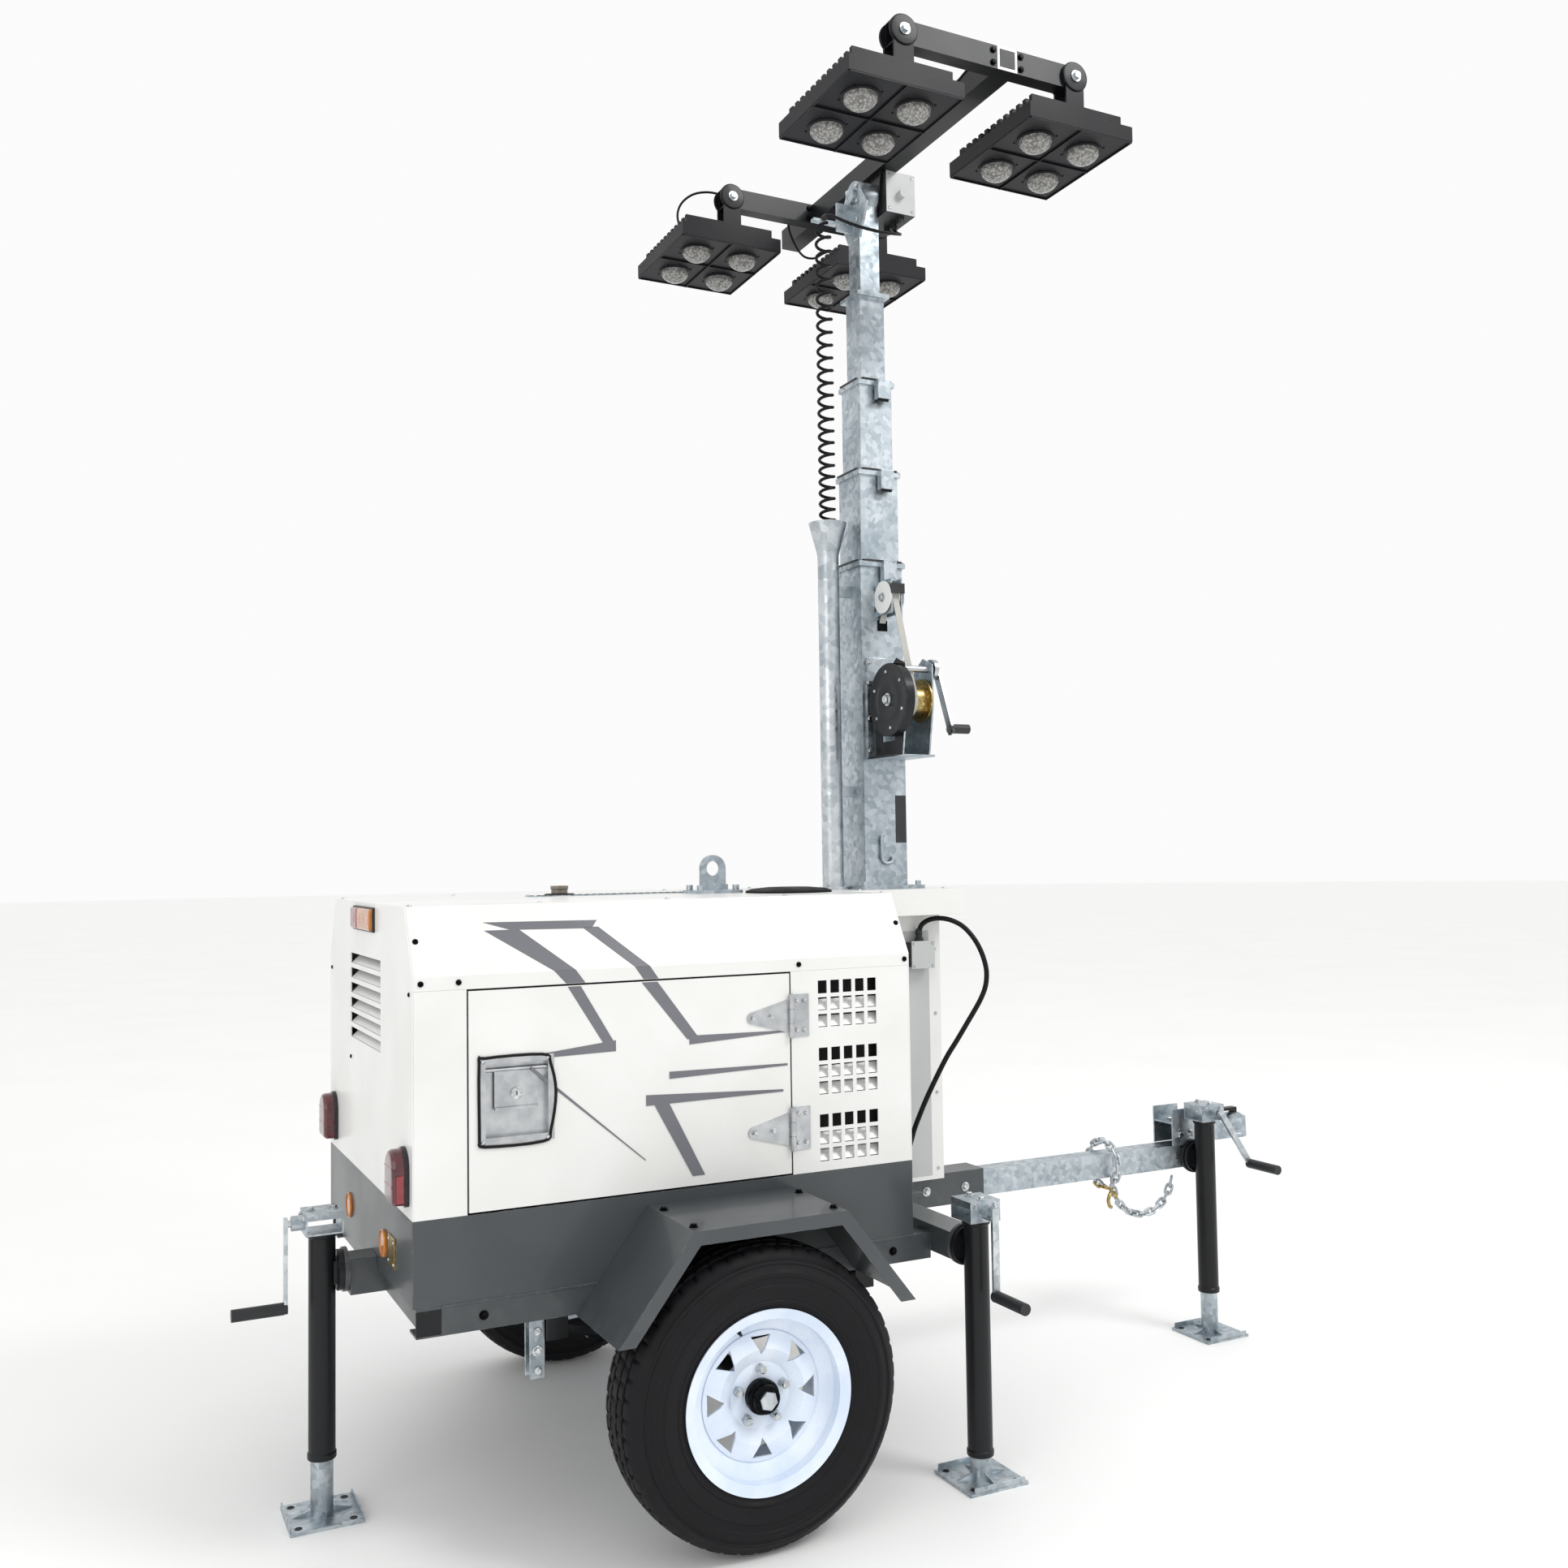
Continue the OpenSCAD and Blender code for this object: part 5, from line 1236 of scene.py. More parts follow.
    def latch(self, side: Side) -> None:
        """Rounded gasket round the latch pan, the lock barrel and the rim's bolts.

        Args:
            side: The side it is on.
        """
        s, name = side.value, side.name.lower()
        low, high = corners(f"latch_{name}")
        x0, x1 = low.x - 14, high.x + 14
        z0, z1 = low.z - 74, high.z + 24
        y = s * (self.side + 2.2)
        piece = Piece(f"latch_gasket_{name}", f"door_{name}")
        ring = smooth([(x0, y, z0 + 12), (x0, y, z1 - 12), (x0 + 12, y, z1), (x1 - 26, y, z1),
                       (x1 - 8, y, z1 - 20), (x1 + 4, y, (z0 + z1) / 2 + 10), (x1 - 8, y, z0 + 24),
                       (x1 - 26, y, z0), (x0 + 12, y, z0), (x0, y, z0 + 12)], 4)
        piece.pipe(ring, 3.4, SEAL, 10)
        for x in (x0 + 8, x1 - 14):
            for z in (z0 + 8, z1 - 8):
                piece.screw((x, s * (self.side + 2), z), (0, s, 0), 9, BRIGHT_ZINC)
        piece.done(sharp=60)
        lock = Piece(f"latch_lock_{name}", f"latch_{name}")
        centre = ((low.x + high.x) / 2, s * (self.side - 1.2), low.z + 34)
        lock.lathe(centre, (0, s, 0), [(13, -4), (13, 1.4), (11.5, 2.2), (9, 2.2), (8.6, 1.2), (0, 1.2)],
                   BRIGHT_ZINC, 28)
        lock.block((centre[0] - 1.1, centre[1] + s * 1.1 - 0.6, centre[2] - 4.5),
                   (centre[0] + 1.1, centre[1] + s * 1.1 + 0.9, centre[2] + 4.5), BLACK_OXIDE)
        lock.done(slot="stainless_steel")

    def hinge_bolts(self, side: Side) -> None:
        """Four bolts on each fixed leaf and two on each strap.

        Args:
            side: The side they are on.
        """
        s, name = side.value, side.name.lower()
        low, high = corners("door_hinges")
        heights = (low.z + 53, high.z - 53)
        y = s * (self.side + 3)
        leaf, strap = Piece(f"hinge_bolts_{name}", "trailer"), Piece(f"strap_bolts_{name}", f"door_{name}")
        for z in heights:
            for dx, dz in ((16, -34), (36, -34), (16, 34), (36, 34)):
                leaf.bolt((self.hinge + dx, y, z + dz), (0, s, 0), 11, BRIGHT_ZINC)
            for dx in (-98, -52):
                strap.bolt((self.hinge + dx, y, z), (0, s, 0), 12, BRIGHT_ZINC)
        leaf.done(slot="stainless_steel")
        strap.done(slot="stainless_steel")

    def vents(self, side: Side) -> None:
        """Slanted deflectors behind the side windows, with dark foam behind them.

        Args:
            side: The side they are on.
        """
        s, name = side.value, side.name.lower()
        x0, x1 = self.hinge + 68, self.hinge + 246
        piece = Piece(f"vent_deflectors_{name}", "trailer")
        foam = Piece(f"vent_foam_{name}", "trailer")
        for group in (self.sill + 23, self.sill + 181, self.sill + 341):
            foam.block((x0, s * (self.side - 22), group - 4), (x1, s * (self.side - 28), group + 116), SEAL)
            for z in (group, group + 40):
                slant = [(4, z + 1), (20, z + 24), (20, z + 24 + self.slat), (4, z + 1 + self.slat)]
                piece.loft([[(x, s * (self.side - depth), height) for depth, height in slant]
                            for x in (x0 + 2, x1 - 2)], WHITE_COAT)
        piece.done(bevel=0.3, slot="white_powder_coat")
        foam.done(bevel=2.0)

    def door_seal(self, side: Side) -> None:
        """Rubber seal round the door opening, seen as the dark line in the gap.

        Args:
            side: The side it is on.
        """
        s, name = side.value, side.name.lower()
        x0, x1 = self.door_low.x - 2.4, self.door_high.x - 4.5
        z0, z1 = self.door_low.z - 2.0, self.door_high.z + 2.0
        y = s * (self.side - 8)
        piece = Piece(f"door_seal_{name}", "trailer")
        corners_of = [(x0, y, z0), (x0, y, z1), (x1, y, z1), (x1, y, z0), (x0, y, z0)]
        for a, b in zip(corners_of, corners_of[1:]):
            piece.rod(a, b, 1.7, SEAL, 10)
        piece.done()

    def tail_lamps(self) -> None:
        """Round-topped tail lamps in three chambers, and the small lamp block at the roof."""
        low, high = corners("rear_lamps")
        half = 45
        face = low.x
        piece = Piece("tail_lamps", "trailer")
        for s in (-1, 1):
            middle = s * (high.y - half)
            left, right = middle - half, middle + half
            base, centre = self.sill + 25, self.sill + 85
            arc = [(middle + half * math.cos(a), self.sill + 100 + half * math.sin(a))
                   for a in [math.pi * k / 16 for k in range(17)]]
            outline = [(left, base + 6), (left + 6, base), (right - 6, base), (right, base + 6), *arc]
            # Place along X, how far the outline is drawn in there, and what the wall up to it is made of.
            steps = [(self.rear, 0.0, NYLON_BLACK), (self.rear - 10, 0.0, NYLON_BLACK),
                     (self.rear - 10, 3.0, RED_LENS), (face + 8, 3.5, RED_LENS), (face + 2.5, 7.0, RED_LENS),
                     (face, 12.0, RED_LENS)]
            rings = [[(x, middle + (y - middle) * (1 - inset / half),
                       centre + (z - centre) * (1 - inset / 60)) for y, z in outline]
                     for x, inset, _ in steps]
            for number, (_, _, finish) in enumerate(steps[1:]):
                piece.loft(rings[number:number + 2], finish, capped=number == len(steps) - 2)
            for z in (self.sill + 66, self.sill + 104):
                piece.block((face - 0.6, left + 9, z), (face + 2, right - 9, z + 2.4), RED_CLEAR)
            piece.block((face + 9, s * (high.y + 0.4), self.sill + 34),
                        (self.rear - 12, s * (high.y - 3.6), self.sill + 92), RED_CLEAR)
        top = self.roof - 39
        piece.block((self.rear - 6, -106, top - 29), (self.rear, 139, top + 29), NYLON_BLACK)
        for y0, y1, finish in ((-102, 52, AMBER_LENS), (56, 135, RED_CLEAR)):
            rings = [[(self.rear - d, y, z) for y, z in ((y0 + i, top - 26 + i), (y1 - i, top - 26 + i),
                                                        (y1 - i, top + 26 - i), (y0 + i, top + 26 - i))]
                     for d, i in ((5.0, 0.0), (11.0, 0.6), (13.5, 4.0))]
            piece.loft(rings, finish)
        for y in (-78, -24, 30, 96):
            piece.lathe((self.rear - 13.2, y, top), (-1, 0, 0), [(15, 0), (12, 0.8), (6, 0.8), (0, 0.4)],
                        AMBER_LENS if y < 52 else RED_CLEAR, 24)
        piece.done(bevel=0.5, slot="red_lens", replaces=["rear_lamps"])

    def reflectors(self) -> None:
        """Round amber reflectors and the plate lamp bracket on the rear of the tub."""
        piece = Piece("rear_reflectors", "trailer")
        for y in (-208, 208):
            piece.lathe((self.rear, y, 625), (-1, 0, 0),
                        [(31, 0), (31, 5), (28.5, 7), (28, 4.4), (10, 5.6), (0, 5.8)], AMBER_LENS, 40)
        piece.block((self.rear - 3, -330, 594), (self.rear, -262, 660), BRASS)
        for y, z in ((-322, 603), (-270, 603), (-322, 651), (-270, 651)):
            piece.screw((self.rear - 3, y, z), (-1, 0, 0), 7, BRIGHT_ZINC)
        piece.done(bevel=0.4)

    def roof_grille(self) -> None:
        """Perforated strip over the silencer, and the exhaust's outlet with its collar."""
        piece = Piece("roof_exhaust_strip", "trailer")
        x0, x1 = self.rear + 437, self.rear + 885
        y0, y1 = 70.0, 150.0
        piece.block((x0, y0, self.roof), (x1, y1, self.roof + 2), ZINC_DIP)
        for i in range(22 * 3):
            piece.lathe((x0 + 14 + i // 3 * 19.2, y0 + 16 + i % 3 * 24, self.roof + 2), (0, 0, 1),
                        [(6.5, 0), (6.5, 0.5), (5.4, 0.7), (5.2, 0.1), (0, 0.1)], BLACK_OXIDE, 12)
        for x in (x0 + 6, x1 - 6):
            for y in (y0 + 6, y1 - 6):
                piece.screw((x, y, self.roof + 2), (0, 0, 1), 9, BRIGHT_ZINC)
        piece.done()
        pipe = Piece("exhaust_outlet", "trailer")
        muffler = corners("muffler")[0].x + 75
        pipe.lathe((muffler, 236, self.roof - 60), (0, 0, 1),
                   [(22, 0), (22, 74), (24, 76), (24, 84), (20, 84), (20, 0)], ALUMINISED, 36, closed=True)
        pipe.lathe((muffler, 236, self.roof), (0, 0, 1), [(40, 0), (40, 3), (24, 4), (23, 4), (23, 0)],
                   BLACK_OXIDE, 36)
        pipe.done(slot="heat_steel")

    def build(self) -> None:
        """All of the canopy."""
        self.dress_panels()
        self.screws()
        self.stripes()
        for side in Side:
            self.latch(side)
            self.hinge_bolts(side)
            self.vents(side)
            self.door_seal(side)
        self.tail_lamps()
        self.reflectors()
        self.roof_grille()
        eye = corners("roof_fittings")
        dress("roof_fittings", ZINC_DIP, 1.0,
              [(SEAL, lambda p: p.x > eye[1].x - 240 and p.y < -4 and p.z < self.roof + 16 and
                (p.x - eye[1].x + 115) ** 2 + (p.y + 120) ** 2 < 118 ** 2)])


# ---------------------------------------------------------------- undercarriage

@dataclass
class Wheel:
    """One road wheel: a tyre with tread, and bright fasteners on the steel rim."""

    side: Side
    steps: int = 300
    tread: float = 7.0
    sipe: float = 3.2

    def centre(self) -> Vector:
        """The wheel's middle."""
        low, high = corners(f"tyre_{self.side.name.lower()}")
        return (low + high) / 2

    def crown(self, along: float) -> float:
        """Radius of the tread's surface at a distance from the middle."""
        return 324.6 - 6.5 * (abs(along) / 62) ** 2.2

    def outline(self) -> tuple[list[tuple[float, float]], list[int]]:
        """The tyre's section from the inner bead over the tread to the outer bead.

        Returns:
            Radius and distance along the axle, and which rib each point lies on, or -1.
        """
        wall = [(179, -70), (184, -76), (192, -79.5), (201, -80), (206, -84), (208, -86.4), (212, -87),
                (214, -85.6), (226, -90), (236, -91.4), (238, -92.5), (246, -92.5), (248, -90.8),
                (262, -90.6), (264, -92.2), (272, -91.6), (274, -89.6), (288, -84.4), (290, -86),
                (296, -83.6), (298, -79.6), (306, -74), (313, -67)]
        points, ribs = list(wall), [-1] * len(wall)
        edges = [-60, -43, -16, 16, 43, 60]
        for rib, (a, b) in enumerate(zip(edges, edges[1:])):
            low, high = a + (4 if rib else 0), b - (4 if rib < 4 else 0)
            if rib:
                points.append((self.crown(low) - self.tread, low - 1.2))
                ribs.append(-1)
            for k in range(4):
                x = low + (high - low) * k / 3
                points.append((self.crown(x), x))
                ribs.append(rib)
            if rib < 4:
                points.append((self.crown(high) - self.tread, high + 1.2))
                ribs.append(-1)
        points += [(r, -a) for r, a in reversed(wall)]
        ribs += [-1] * len(wall)
        inner = [(190, 66), (226, 80), (268, 80), (296, 62), (304, 0), (296, -62), (268, -80), (226, -80),
                 (190, -66)]
        return points + inner, ribs + [-1] * len(inner)

    def cut(self, ribs: list[int]) -> Callable[[int, int], float]:
        """Cross cuts in the tread, staggered from rib to rib.

        Args:
            ribs: The rib of each tread point, below 0 in a groove.

        Returns:
            A function of tread point and step round the tyre that gives the cut.
        """
        every = {0: 6, 4: 6, 1: 5, 3: 5, 2: 6}
        offset = {0: 0, 1: 2, 2: 1, 3: 4, 4: 3}

        def depth(point: int, step: int) -> float:
            """How far a tread point is cut back.

            Args:
                point: Number of the tread point.
                step: Number of the step round the tyre.

            Returns:
                The cut, 0 or below.
            """
            rib = ribs[point]
            if rib < 0 or (step + offset[rib]) % every[rib]:
                return 0.0
            return -self.sipe * (1.6 if rib in (0, 4) else 1.0)
        return depth

    def build(self) -> None:
        """Tyre, valve, nuts and hub cap."""
        s, name = self.side.value, self.side.name.lower()
        middle = self.centre()
        points, ribs = self.outline()
        tyre = Piece(f"road_tyre_{name}", f"wheel_{name}")
        tyre.lathe(middle, (0, s, 0), points, TYRE, self.steps, closed=True, wave=self.cut(ribs))
        tyre.done(sharp=38, slot="tyre_rubber", replaces=[f"tyre_{name}"])

        def on_hub(p: Vector) -> bool:
            """Whether a face belongs to the hub's barrel, behind the nuts."""
            reach = math.hypot(p.x - middle.x, p.z - middle.z)
            return reach < 37 and s * (p.y - middle.y) > 30

        def on_nut(p: Vector) -> bool:
            """Whether a face belongs to a wheel nut or its stud."""
            reach = math.hypot(p.x - middle.x, p.z - middle.z)
            return 44 < reach < 70 and s * (p.y - middle.y) > 30.6
        dress(f"rim_{name}", WHEEL_PAINT, 0.0, [(BLACK_OXIDE, on_hub), (BRIGHT_ZINC, on_nut)])
        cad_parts[f"rim_{name}"].data.set_sharp_from_angle(angle=math.radians(30))
        fit = Piece(f"hub_fittings_{name}", f"wheel_{name}")
        fit.lathe(middle, (0, s, 0), [(37.5, 40.5), (38, 46), (36, 52), (31, 54), (30.3, 67), (27, 69.5),
                                      (23, 70), (0, 70)], BLACK_OXIDE, 48)
        fit.lathe(middle, (0, s, 0), [(21, 70), (21, 76), (19, 78.5), (0, 79.5)], ZINC_BAR, 6)
        for i in range(5):
            angle = math.tau * i / 5 + math.pi / 2
            place = middle + Vector((57 * math.cos(angle) * -s, s * 46, 57 * math.sin(angle)))
            fit.lathe(place, (0, s, 0), [(8.6, -0.5), (8.6, 2.0), (7.6, 5.0), (4.5, 6.6), (0, 7.0)],
                      BRIGHT_ZINC, 24)
        valve, cap, tip = (middle + Vector(p) for p in ((s * 60, s * 40, 152), (s * 57, s * 54, 145),
                                                        (s * 56, s * 60, 142)))
        fit.rod(valve, cap, 4.4, SEAL, 14, 1.0)
        fit.rod(cap, tip, 3.6, NYLON_BLACK, 12, 0.8)
        fit.done(slot="wheel_paint")


@dataclass
class Undercarriage:
    """Chassis, axle, fenders, wheels, drawbar and coupler."""

    bolt: float = 19.0

    def dress_steel(self) -> None:
        """Finishes for the chassis steel."""
        dress("chassis_frame", DARK_COAT, 1.6)
        dress("fenders", DARK_COAT, 0.9)
        dress("axle", BLACK_COAT, 1.0)
        bar = corners("drawbar")
        dress("drawbar", ZINC_DIP, 3.0, [(BLACK_COAT, lambda p: p.y < -35.5)])
        dress("coupler", ZINC_DIP, 1.6)
        dress("coupler_latch", BLACK_COAT, 0.9)
        dress("safety_chain", ZINC_BAR, 0.0,
              [(BRASS, lambda p: p.x < bar[0].x + 812 and p.z < bar[0].z - 12)])
        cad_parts["safety_chain"].data.shade_smooth()

    def side_rail(self) -> None:
        """Rolled lip, black end plate and bolts along both side rails."""
        low, high = corners("lower_tub")
        piece = Piece("rail_trim", "trailer")
        for s in (-1, 1):
            y = s * high.y
            piece.block((low.x + 60, y, low.z - 4), (high.x, y + s * 1.6, low.z + 1.2), DARK_COAT)
            piece.block((low.x + 6, y, low.z - 58), (low.x + 60, y + s * 1.2, low.z - 6), BLACK_COAT)
            for x in (low.x + 150, low.x + 420, high.x - 160, high.x - 60):
                piece.bolt((x, y, low.z - 32), (0, s, 0), self.bolt * 0.8, BLACK_OXIDE)
        piece.done(bevel=0.5)

    def fender_trim(self) -> None:
        """Stay bars under the fenders, with their bolts through the top."""
        low, high = corners("fenders")
        tub = corners("lower_tub")[1].y
        piece = Piece("fender_trim", "trailer")
        middle = (low.x + high.x) / 2
        for s in (-1, 1):
            for x in (middle - 168, middle + 168):
                piece.block((x - 15, s * tub, high.z - 8.5), (x + 15, s * (high.y - 6), high.z - 3.2),
                            DARK_COAT)
                for reach in (tub + 60, high.y - 40):
                    piece.bolt((x, s * reach, high.z), (0, 0, 1), 15, BLACK_OXIDE)
        piece.done(bevel=0.4)

    def shackle(self) -> None:
        """Galvanised support bracket that hangs behind each wheel from the rail, with its pin."""
        low, high = corners("lower_tub")
        piece = Piece("rear_shackles", "trailer")
        x = low.x + 272
        for s in (-1, 1):
            y = s * (high.y - 37)
            for dy in (-19, 15):
                piece.block((x - 17, y + dy, 360), (x + 17, y + dy + 4, 492), ZINC_DIP)
            piece.rod((x, y - 25, 462), (x, y + 25, 462), 9, BRIGHT_ZINC, 20, 1.2)
            piece.rod((x, y - 25, 378), (x, y + 25, 378), 9, BRIGHT_ZINC, 20, 1.2)
            piece.bolt((x, y + s * 19.5, 420), (0, s, 0), 17, BRIGHT_ZINC)
        piece.done(bevel=1.2)

    def coupling(self) -> None:
        """Bolts through the coupler and the bar's splice, and the ball cup's lip and dome."""
        low, high = corners("coupler")
        bar = corners("drawbar")[0].x
        piece = Piece("coupler_fittings", "trailer")
        for x in (low.x + 26, low.x + 70, low.x + 116):
            for s in (-1, 1):
                piece.bolt((x, s * 45, low.z + 34), (0, s, 0), self.bolt, BRIGHT_ZINC)
            piece.bolt((x, 0, high.z - 40), (0, 0, 1), self.bolt, BRIGHT_ZINC)
        ball = high.x - 40
        piece.lathe((ball, 0, low.z), (0, 0, 1), [(41.4, 2), (41.4, 12), (40, 14), (40, 2)], ZINC_DIP, 48)
        piece.lathe((ball, 0, low.z + 62), (0, 0, 1), [(30, 0), (29, 5), (22, 10), (10, 13), (0, 13.6)],
                    ZINC_DIP, 40)
        for x in (bar + 22, bar + 120, bar + 250):
            for s in (1, -1):
                piece.bolt((x, s * 45, 530), (0, s, 0), self.bolt, BRIGHT_ZINC)
        piece.done()

    def build(self) -> None:
        """All of the undercarriage."""
        self.dress_steel()
        self.side_rail()
        self.fender_trim()
        self.shackle()
        self.coupling()
        for side in Side:
            Wheel(side).build()


@dataclass
class Jack:
    """One screw jack, dressed and given its fasteners."""

    name: str
    turn: float

    def toward(self, ahead: float, side: float, z: float) -> Vector:
        """A point given in the jack's own directions, from its tube's axis."""
        leg_low, leg_high = corners(f"jack_leg_{self.name}")
        middle = (leg_low + leg_high) / 2
        a = math.radians(self.turn)
        return Vector((middle.x + ahead * math.cos(a) - side * math.sin(a),
                       middle.y + ahead * math.sin(a) + side * math.cos(a), z))

    def build(self) -> None:
        """Galvanised cap, leg and crank, black tube and grip, with rings, bolts and the foot's lips."""
        top = corners(f"jack_tube_{self.name}")[1].z
        axis = self.toward(0, 0, 0)
        a = math.radians(self.turn)
        ahead = Vector((math.cos(a), math.sin(a), 0))
        pivot = corners(f"jack_tube_{self.name}")[0].z
        dress(f"jack_tube_{self.name}", BLACK_COAT, 1.0, [(ZINC_DIP, lambda p: p.z > top - 50.2)])
        dress(f"jack_leg_{self.name}", ZINC_DIP, 1.0)
        dress(f"jack_crank_{self.name}", ZINC_BAR, 1.2,
              [(NYLON_BLACK, lambda p: (p - axis).dot(ahead) > 85)])
        cap = Piece(f"jack_cap_{self.name}", f"jack_tube_{self.name}")
        for s in (-1, 1):
            cap.bolt(self.toward(s * 26, 0, top), (0, 0, 1), 16, BRIGHT_ZINC)
            cap.bolt(self.toward(42, s * 27, top - 12), ahead, 12, BRIGHT_ZINC)
        ring = self.toward(0, 0, top - 50)
        cap.lathe(ring, (0, 0, -1), [(34, 0), (34, 9), (31, 12), (30.2, 12)], BLACK_COAT, 36)
        low = self.toward(0, 0, pivot)
        cap.lathe(low, (0, 0, 1), [(31.6, -0.4), (32.4, 2), (32.4, 12), (30.2, 15)], BLACK_COAT, 36)
        cap.done(bevel=0.3)
        foot = Piece(f"jack_foot_{self.name}", f"jack_leg_{self.name}")
        half = 80 - 1.5
        for sx in (-1, 1):
            foot.block(self.toward(sx * half - 1.5, -70, 6), self.toward(sx * half + 1.5, 70, 20), ZINC_DIP)
        for dx, dy in ((-60, -60), (60, -60), (-60, 60), (60, 60)):
            foot.lathe(self.toward(dx, dy, 8), (0, 0, 1),
                       [(8.5, 0), (8.5, 0.8), (6.2, 0.8), (6.0, 0.1), (0, 0.1)], BLACK_OXIDE, 20)
        foot.done(bevel=0.6)


# ---------------------------------------------------------------- mast and winch

@dataclass
class Mast:
    """Telescopic mast with its pads, winch, strap and hook."""

    pad: float = 5.0
    strap_w: float = 19.0

    def __post_init__(self) -> None:
        """Takes the mast's middle and sizes from the frame."""
        low, high = corners("mast_section_2")
        self.x = (low.x + high.x) / 2
        self.tops = [corners(f"mast_section_{i}")[1].z for i in (1, 2, 3)]
        self.roof = corners("roof_panel")[1].z

    def dress_sections(self) -> None:
        """Finishes for the sections, the tube and the winch."""
        for i in (1, 2, 3, 4):
            dress(f"mast_section_{i}", ZINC_DIP, 1.4)
        dress("guide_tube", ZINC_BAR, 0.8)
        cover_x = corners("winch_frame")[0].x
        dress("winch_frame", ZINC_DIP, 0.8, [(BLACK_COAT, lambda p: p.x < cover_x + 26 and p.y < -88)])
        dress("winch_drum", BRASS, 0.8)
        dress("winch_crank", STAINLESS, 1.0, [(NYLON_BLACK, lambda p: p.x > corners("winch_crank")[1].x - 62
                                              and p.z < corners("winch_crank")[0].z + 40)])

    def collars(self) -> None:
        """Black wear pads on each collar, with their screws, and the pad on its lug."""
        sizes = (135.0, 123.0, 105.0)
        bodies = ("trailer", "mast_2", "mast_3")
        for i, (size, top, body) in enumerate(zip(sizes, self.tops, bodies), 1):
            piece = Piece(f"collar_pads_{i}", body)
            outer = size / 2 + 9.5
            inner = (size - 11) / 2
            z = top + 0.1
            for sx, sy in ((1, 0), (-1, 0), (0, 1), (0, -1)):
                mid = (outer + inner) / 2 - 2
                x0, x1 = (sx * (inner + 3), sx * outer) if sx else (-inner, inner)
                y0, y1 = (sy * (inner + 3), sy * outer) if sy else (-inner, inner)
                piece.block((self.x + x0, y0, z), (self.x + x1, y1, z + self.pad), NYLON_BLACK)
                piece.screw((self.x + sx * mid if sx else self.x - 26, sy * mid if sy else -26, z + self.pad),
                            (0, 0, 1), 9, BRIGHT_ZINC)
            for sx in (-1, 1):
                for sy in (-28, 28):
                    piece.screw((self.x + sx * (size / 2 + 7), sy, top - 7), (sx, 0, 0), 9, BRIGHT_ZINC)
            lug = -size / 2 - 19
            piece.block((self.x - 3, lug - 5.5, top - 62), (self.x + 29, lug, top - 2), SEAL)
            piece.done(bevel=0.6)

    def pulley(self) -> None:
        """Turned nylon roller with a flat track between its flanges, and the guard over it."""
        low, high = corners("pulley_wheel")
        middle = (low + high) / 2
        roller = Piece("strap_roller", "pulley")
        half = (high.x - low.x) / 2
        roller.lathe((middle.x - half, middle.y, middle.z), (1, 0, 0),
                     [(8.1, 0), (36, 0), (36, 2.4), (29, 3.4), (28.4, half), (29, 2 * half - 3.4),
                      (36, 2 * half - 2.4), (36, 2 * half), (8.1, 2 * half)], NYLON_WHITE, 56, closed=True)
        roller.done(bevel=0.4, slot="pulley_nylon", replaces=["pulley_wheel"])
        guard = Piece("roller_guard", "trailer")
        for sx in (-1, 1):
            x = middle.x + sx * 20.6
            arc = [(46 * math.cos(a), 46 * math.sin(a)) for a in [math.pi * k / 12 for k in range(-5, 18)]]
            guard.loft([[(x + t, middle.y + u, middle.z + v) for u, v in arc]
                        for t in (-0.1 * sx, 2.4 * sx)], WHITE_COAT)
            guard.bolt((x + sx * 2.4, middle.y, middle.z), (sx, 0, 0), 19, BRIGHT_ZINC)
        guard.block((middle.x - 22, middle.y - 47, middle.z + 6), (middle.x + 22, middle.y - 44.6, middle.z + 34),
                    NYLON_BLACK)
        guard.done(bevel=0.5)

    def strap(self) -> None:
        """Flat webbing from behind the roller, over it and down to the drum, with wound layers."""
        low, high = corners("pulley_wheel")
        roller = (low + high) / 2
        d_low, d_high = corners("winch_drum")
        drum = Vector((0, (d_low.y + d_high.y) / 2, (d_low.z + d_high.z) / 2))
        wound = 46.0
        over = [(roller.y + 30.2 * math.cos(a), roller.z + 30.2 * math.sin(a))
                for a in [math.pi * k / 14 for k in range(15)]]
        run = [(roller.y + 48.0, roller.z - 78), (roller.y + 32.4, roller.z - 48), *over]
        run.append((drum.y - wound, drum.z))
        run += [(drum.y - wound * math.cos(a), drum.z - wound * math.sin(a)) for a in
                [math.tau * k / 40 for k in range(1, 40)]]
        piece = Piece("winch_strap", "trailer")
        t = 1.3
        rings = []
        for i, (y, z) in enumerate(run):
            ahead = Vector(run[min(i + 1, len(run) - 1)]) - Vector(run[max(i - 1, 0)])
            ahead.normalize()
            n = Vector((-ahead.y, ahead.x)) * t / 2
            rings.append([(self.x + across * self.strap_w / 2, y + out * n.x, z + out * n.y)
                          for across, out in ((-1, -1), (1, -1), (1, 1), (-1, 1))])
        piece.loft(rings, STRAP)
        piece.block((self.x - 16, -68.6, roller.z - 88), (self.x + 16, -67.4, roller.z - 58), BLACK_OXIDE)
        piece.done(sharp=50)

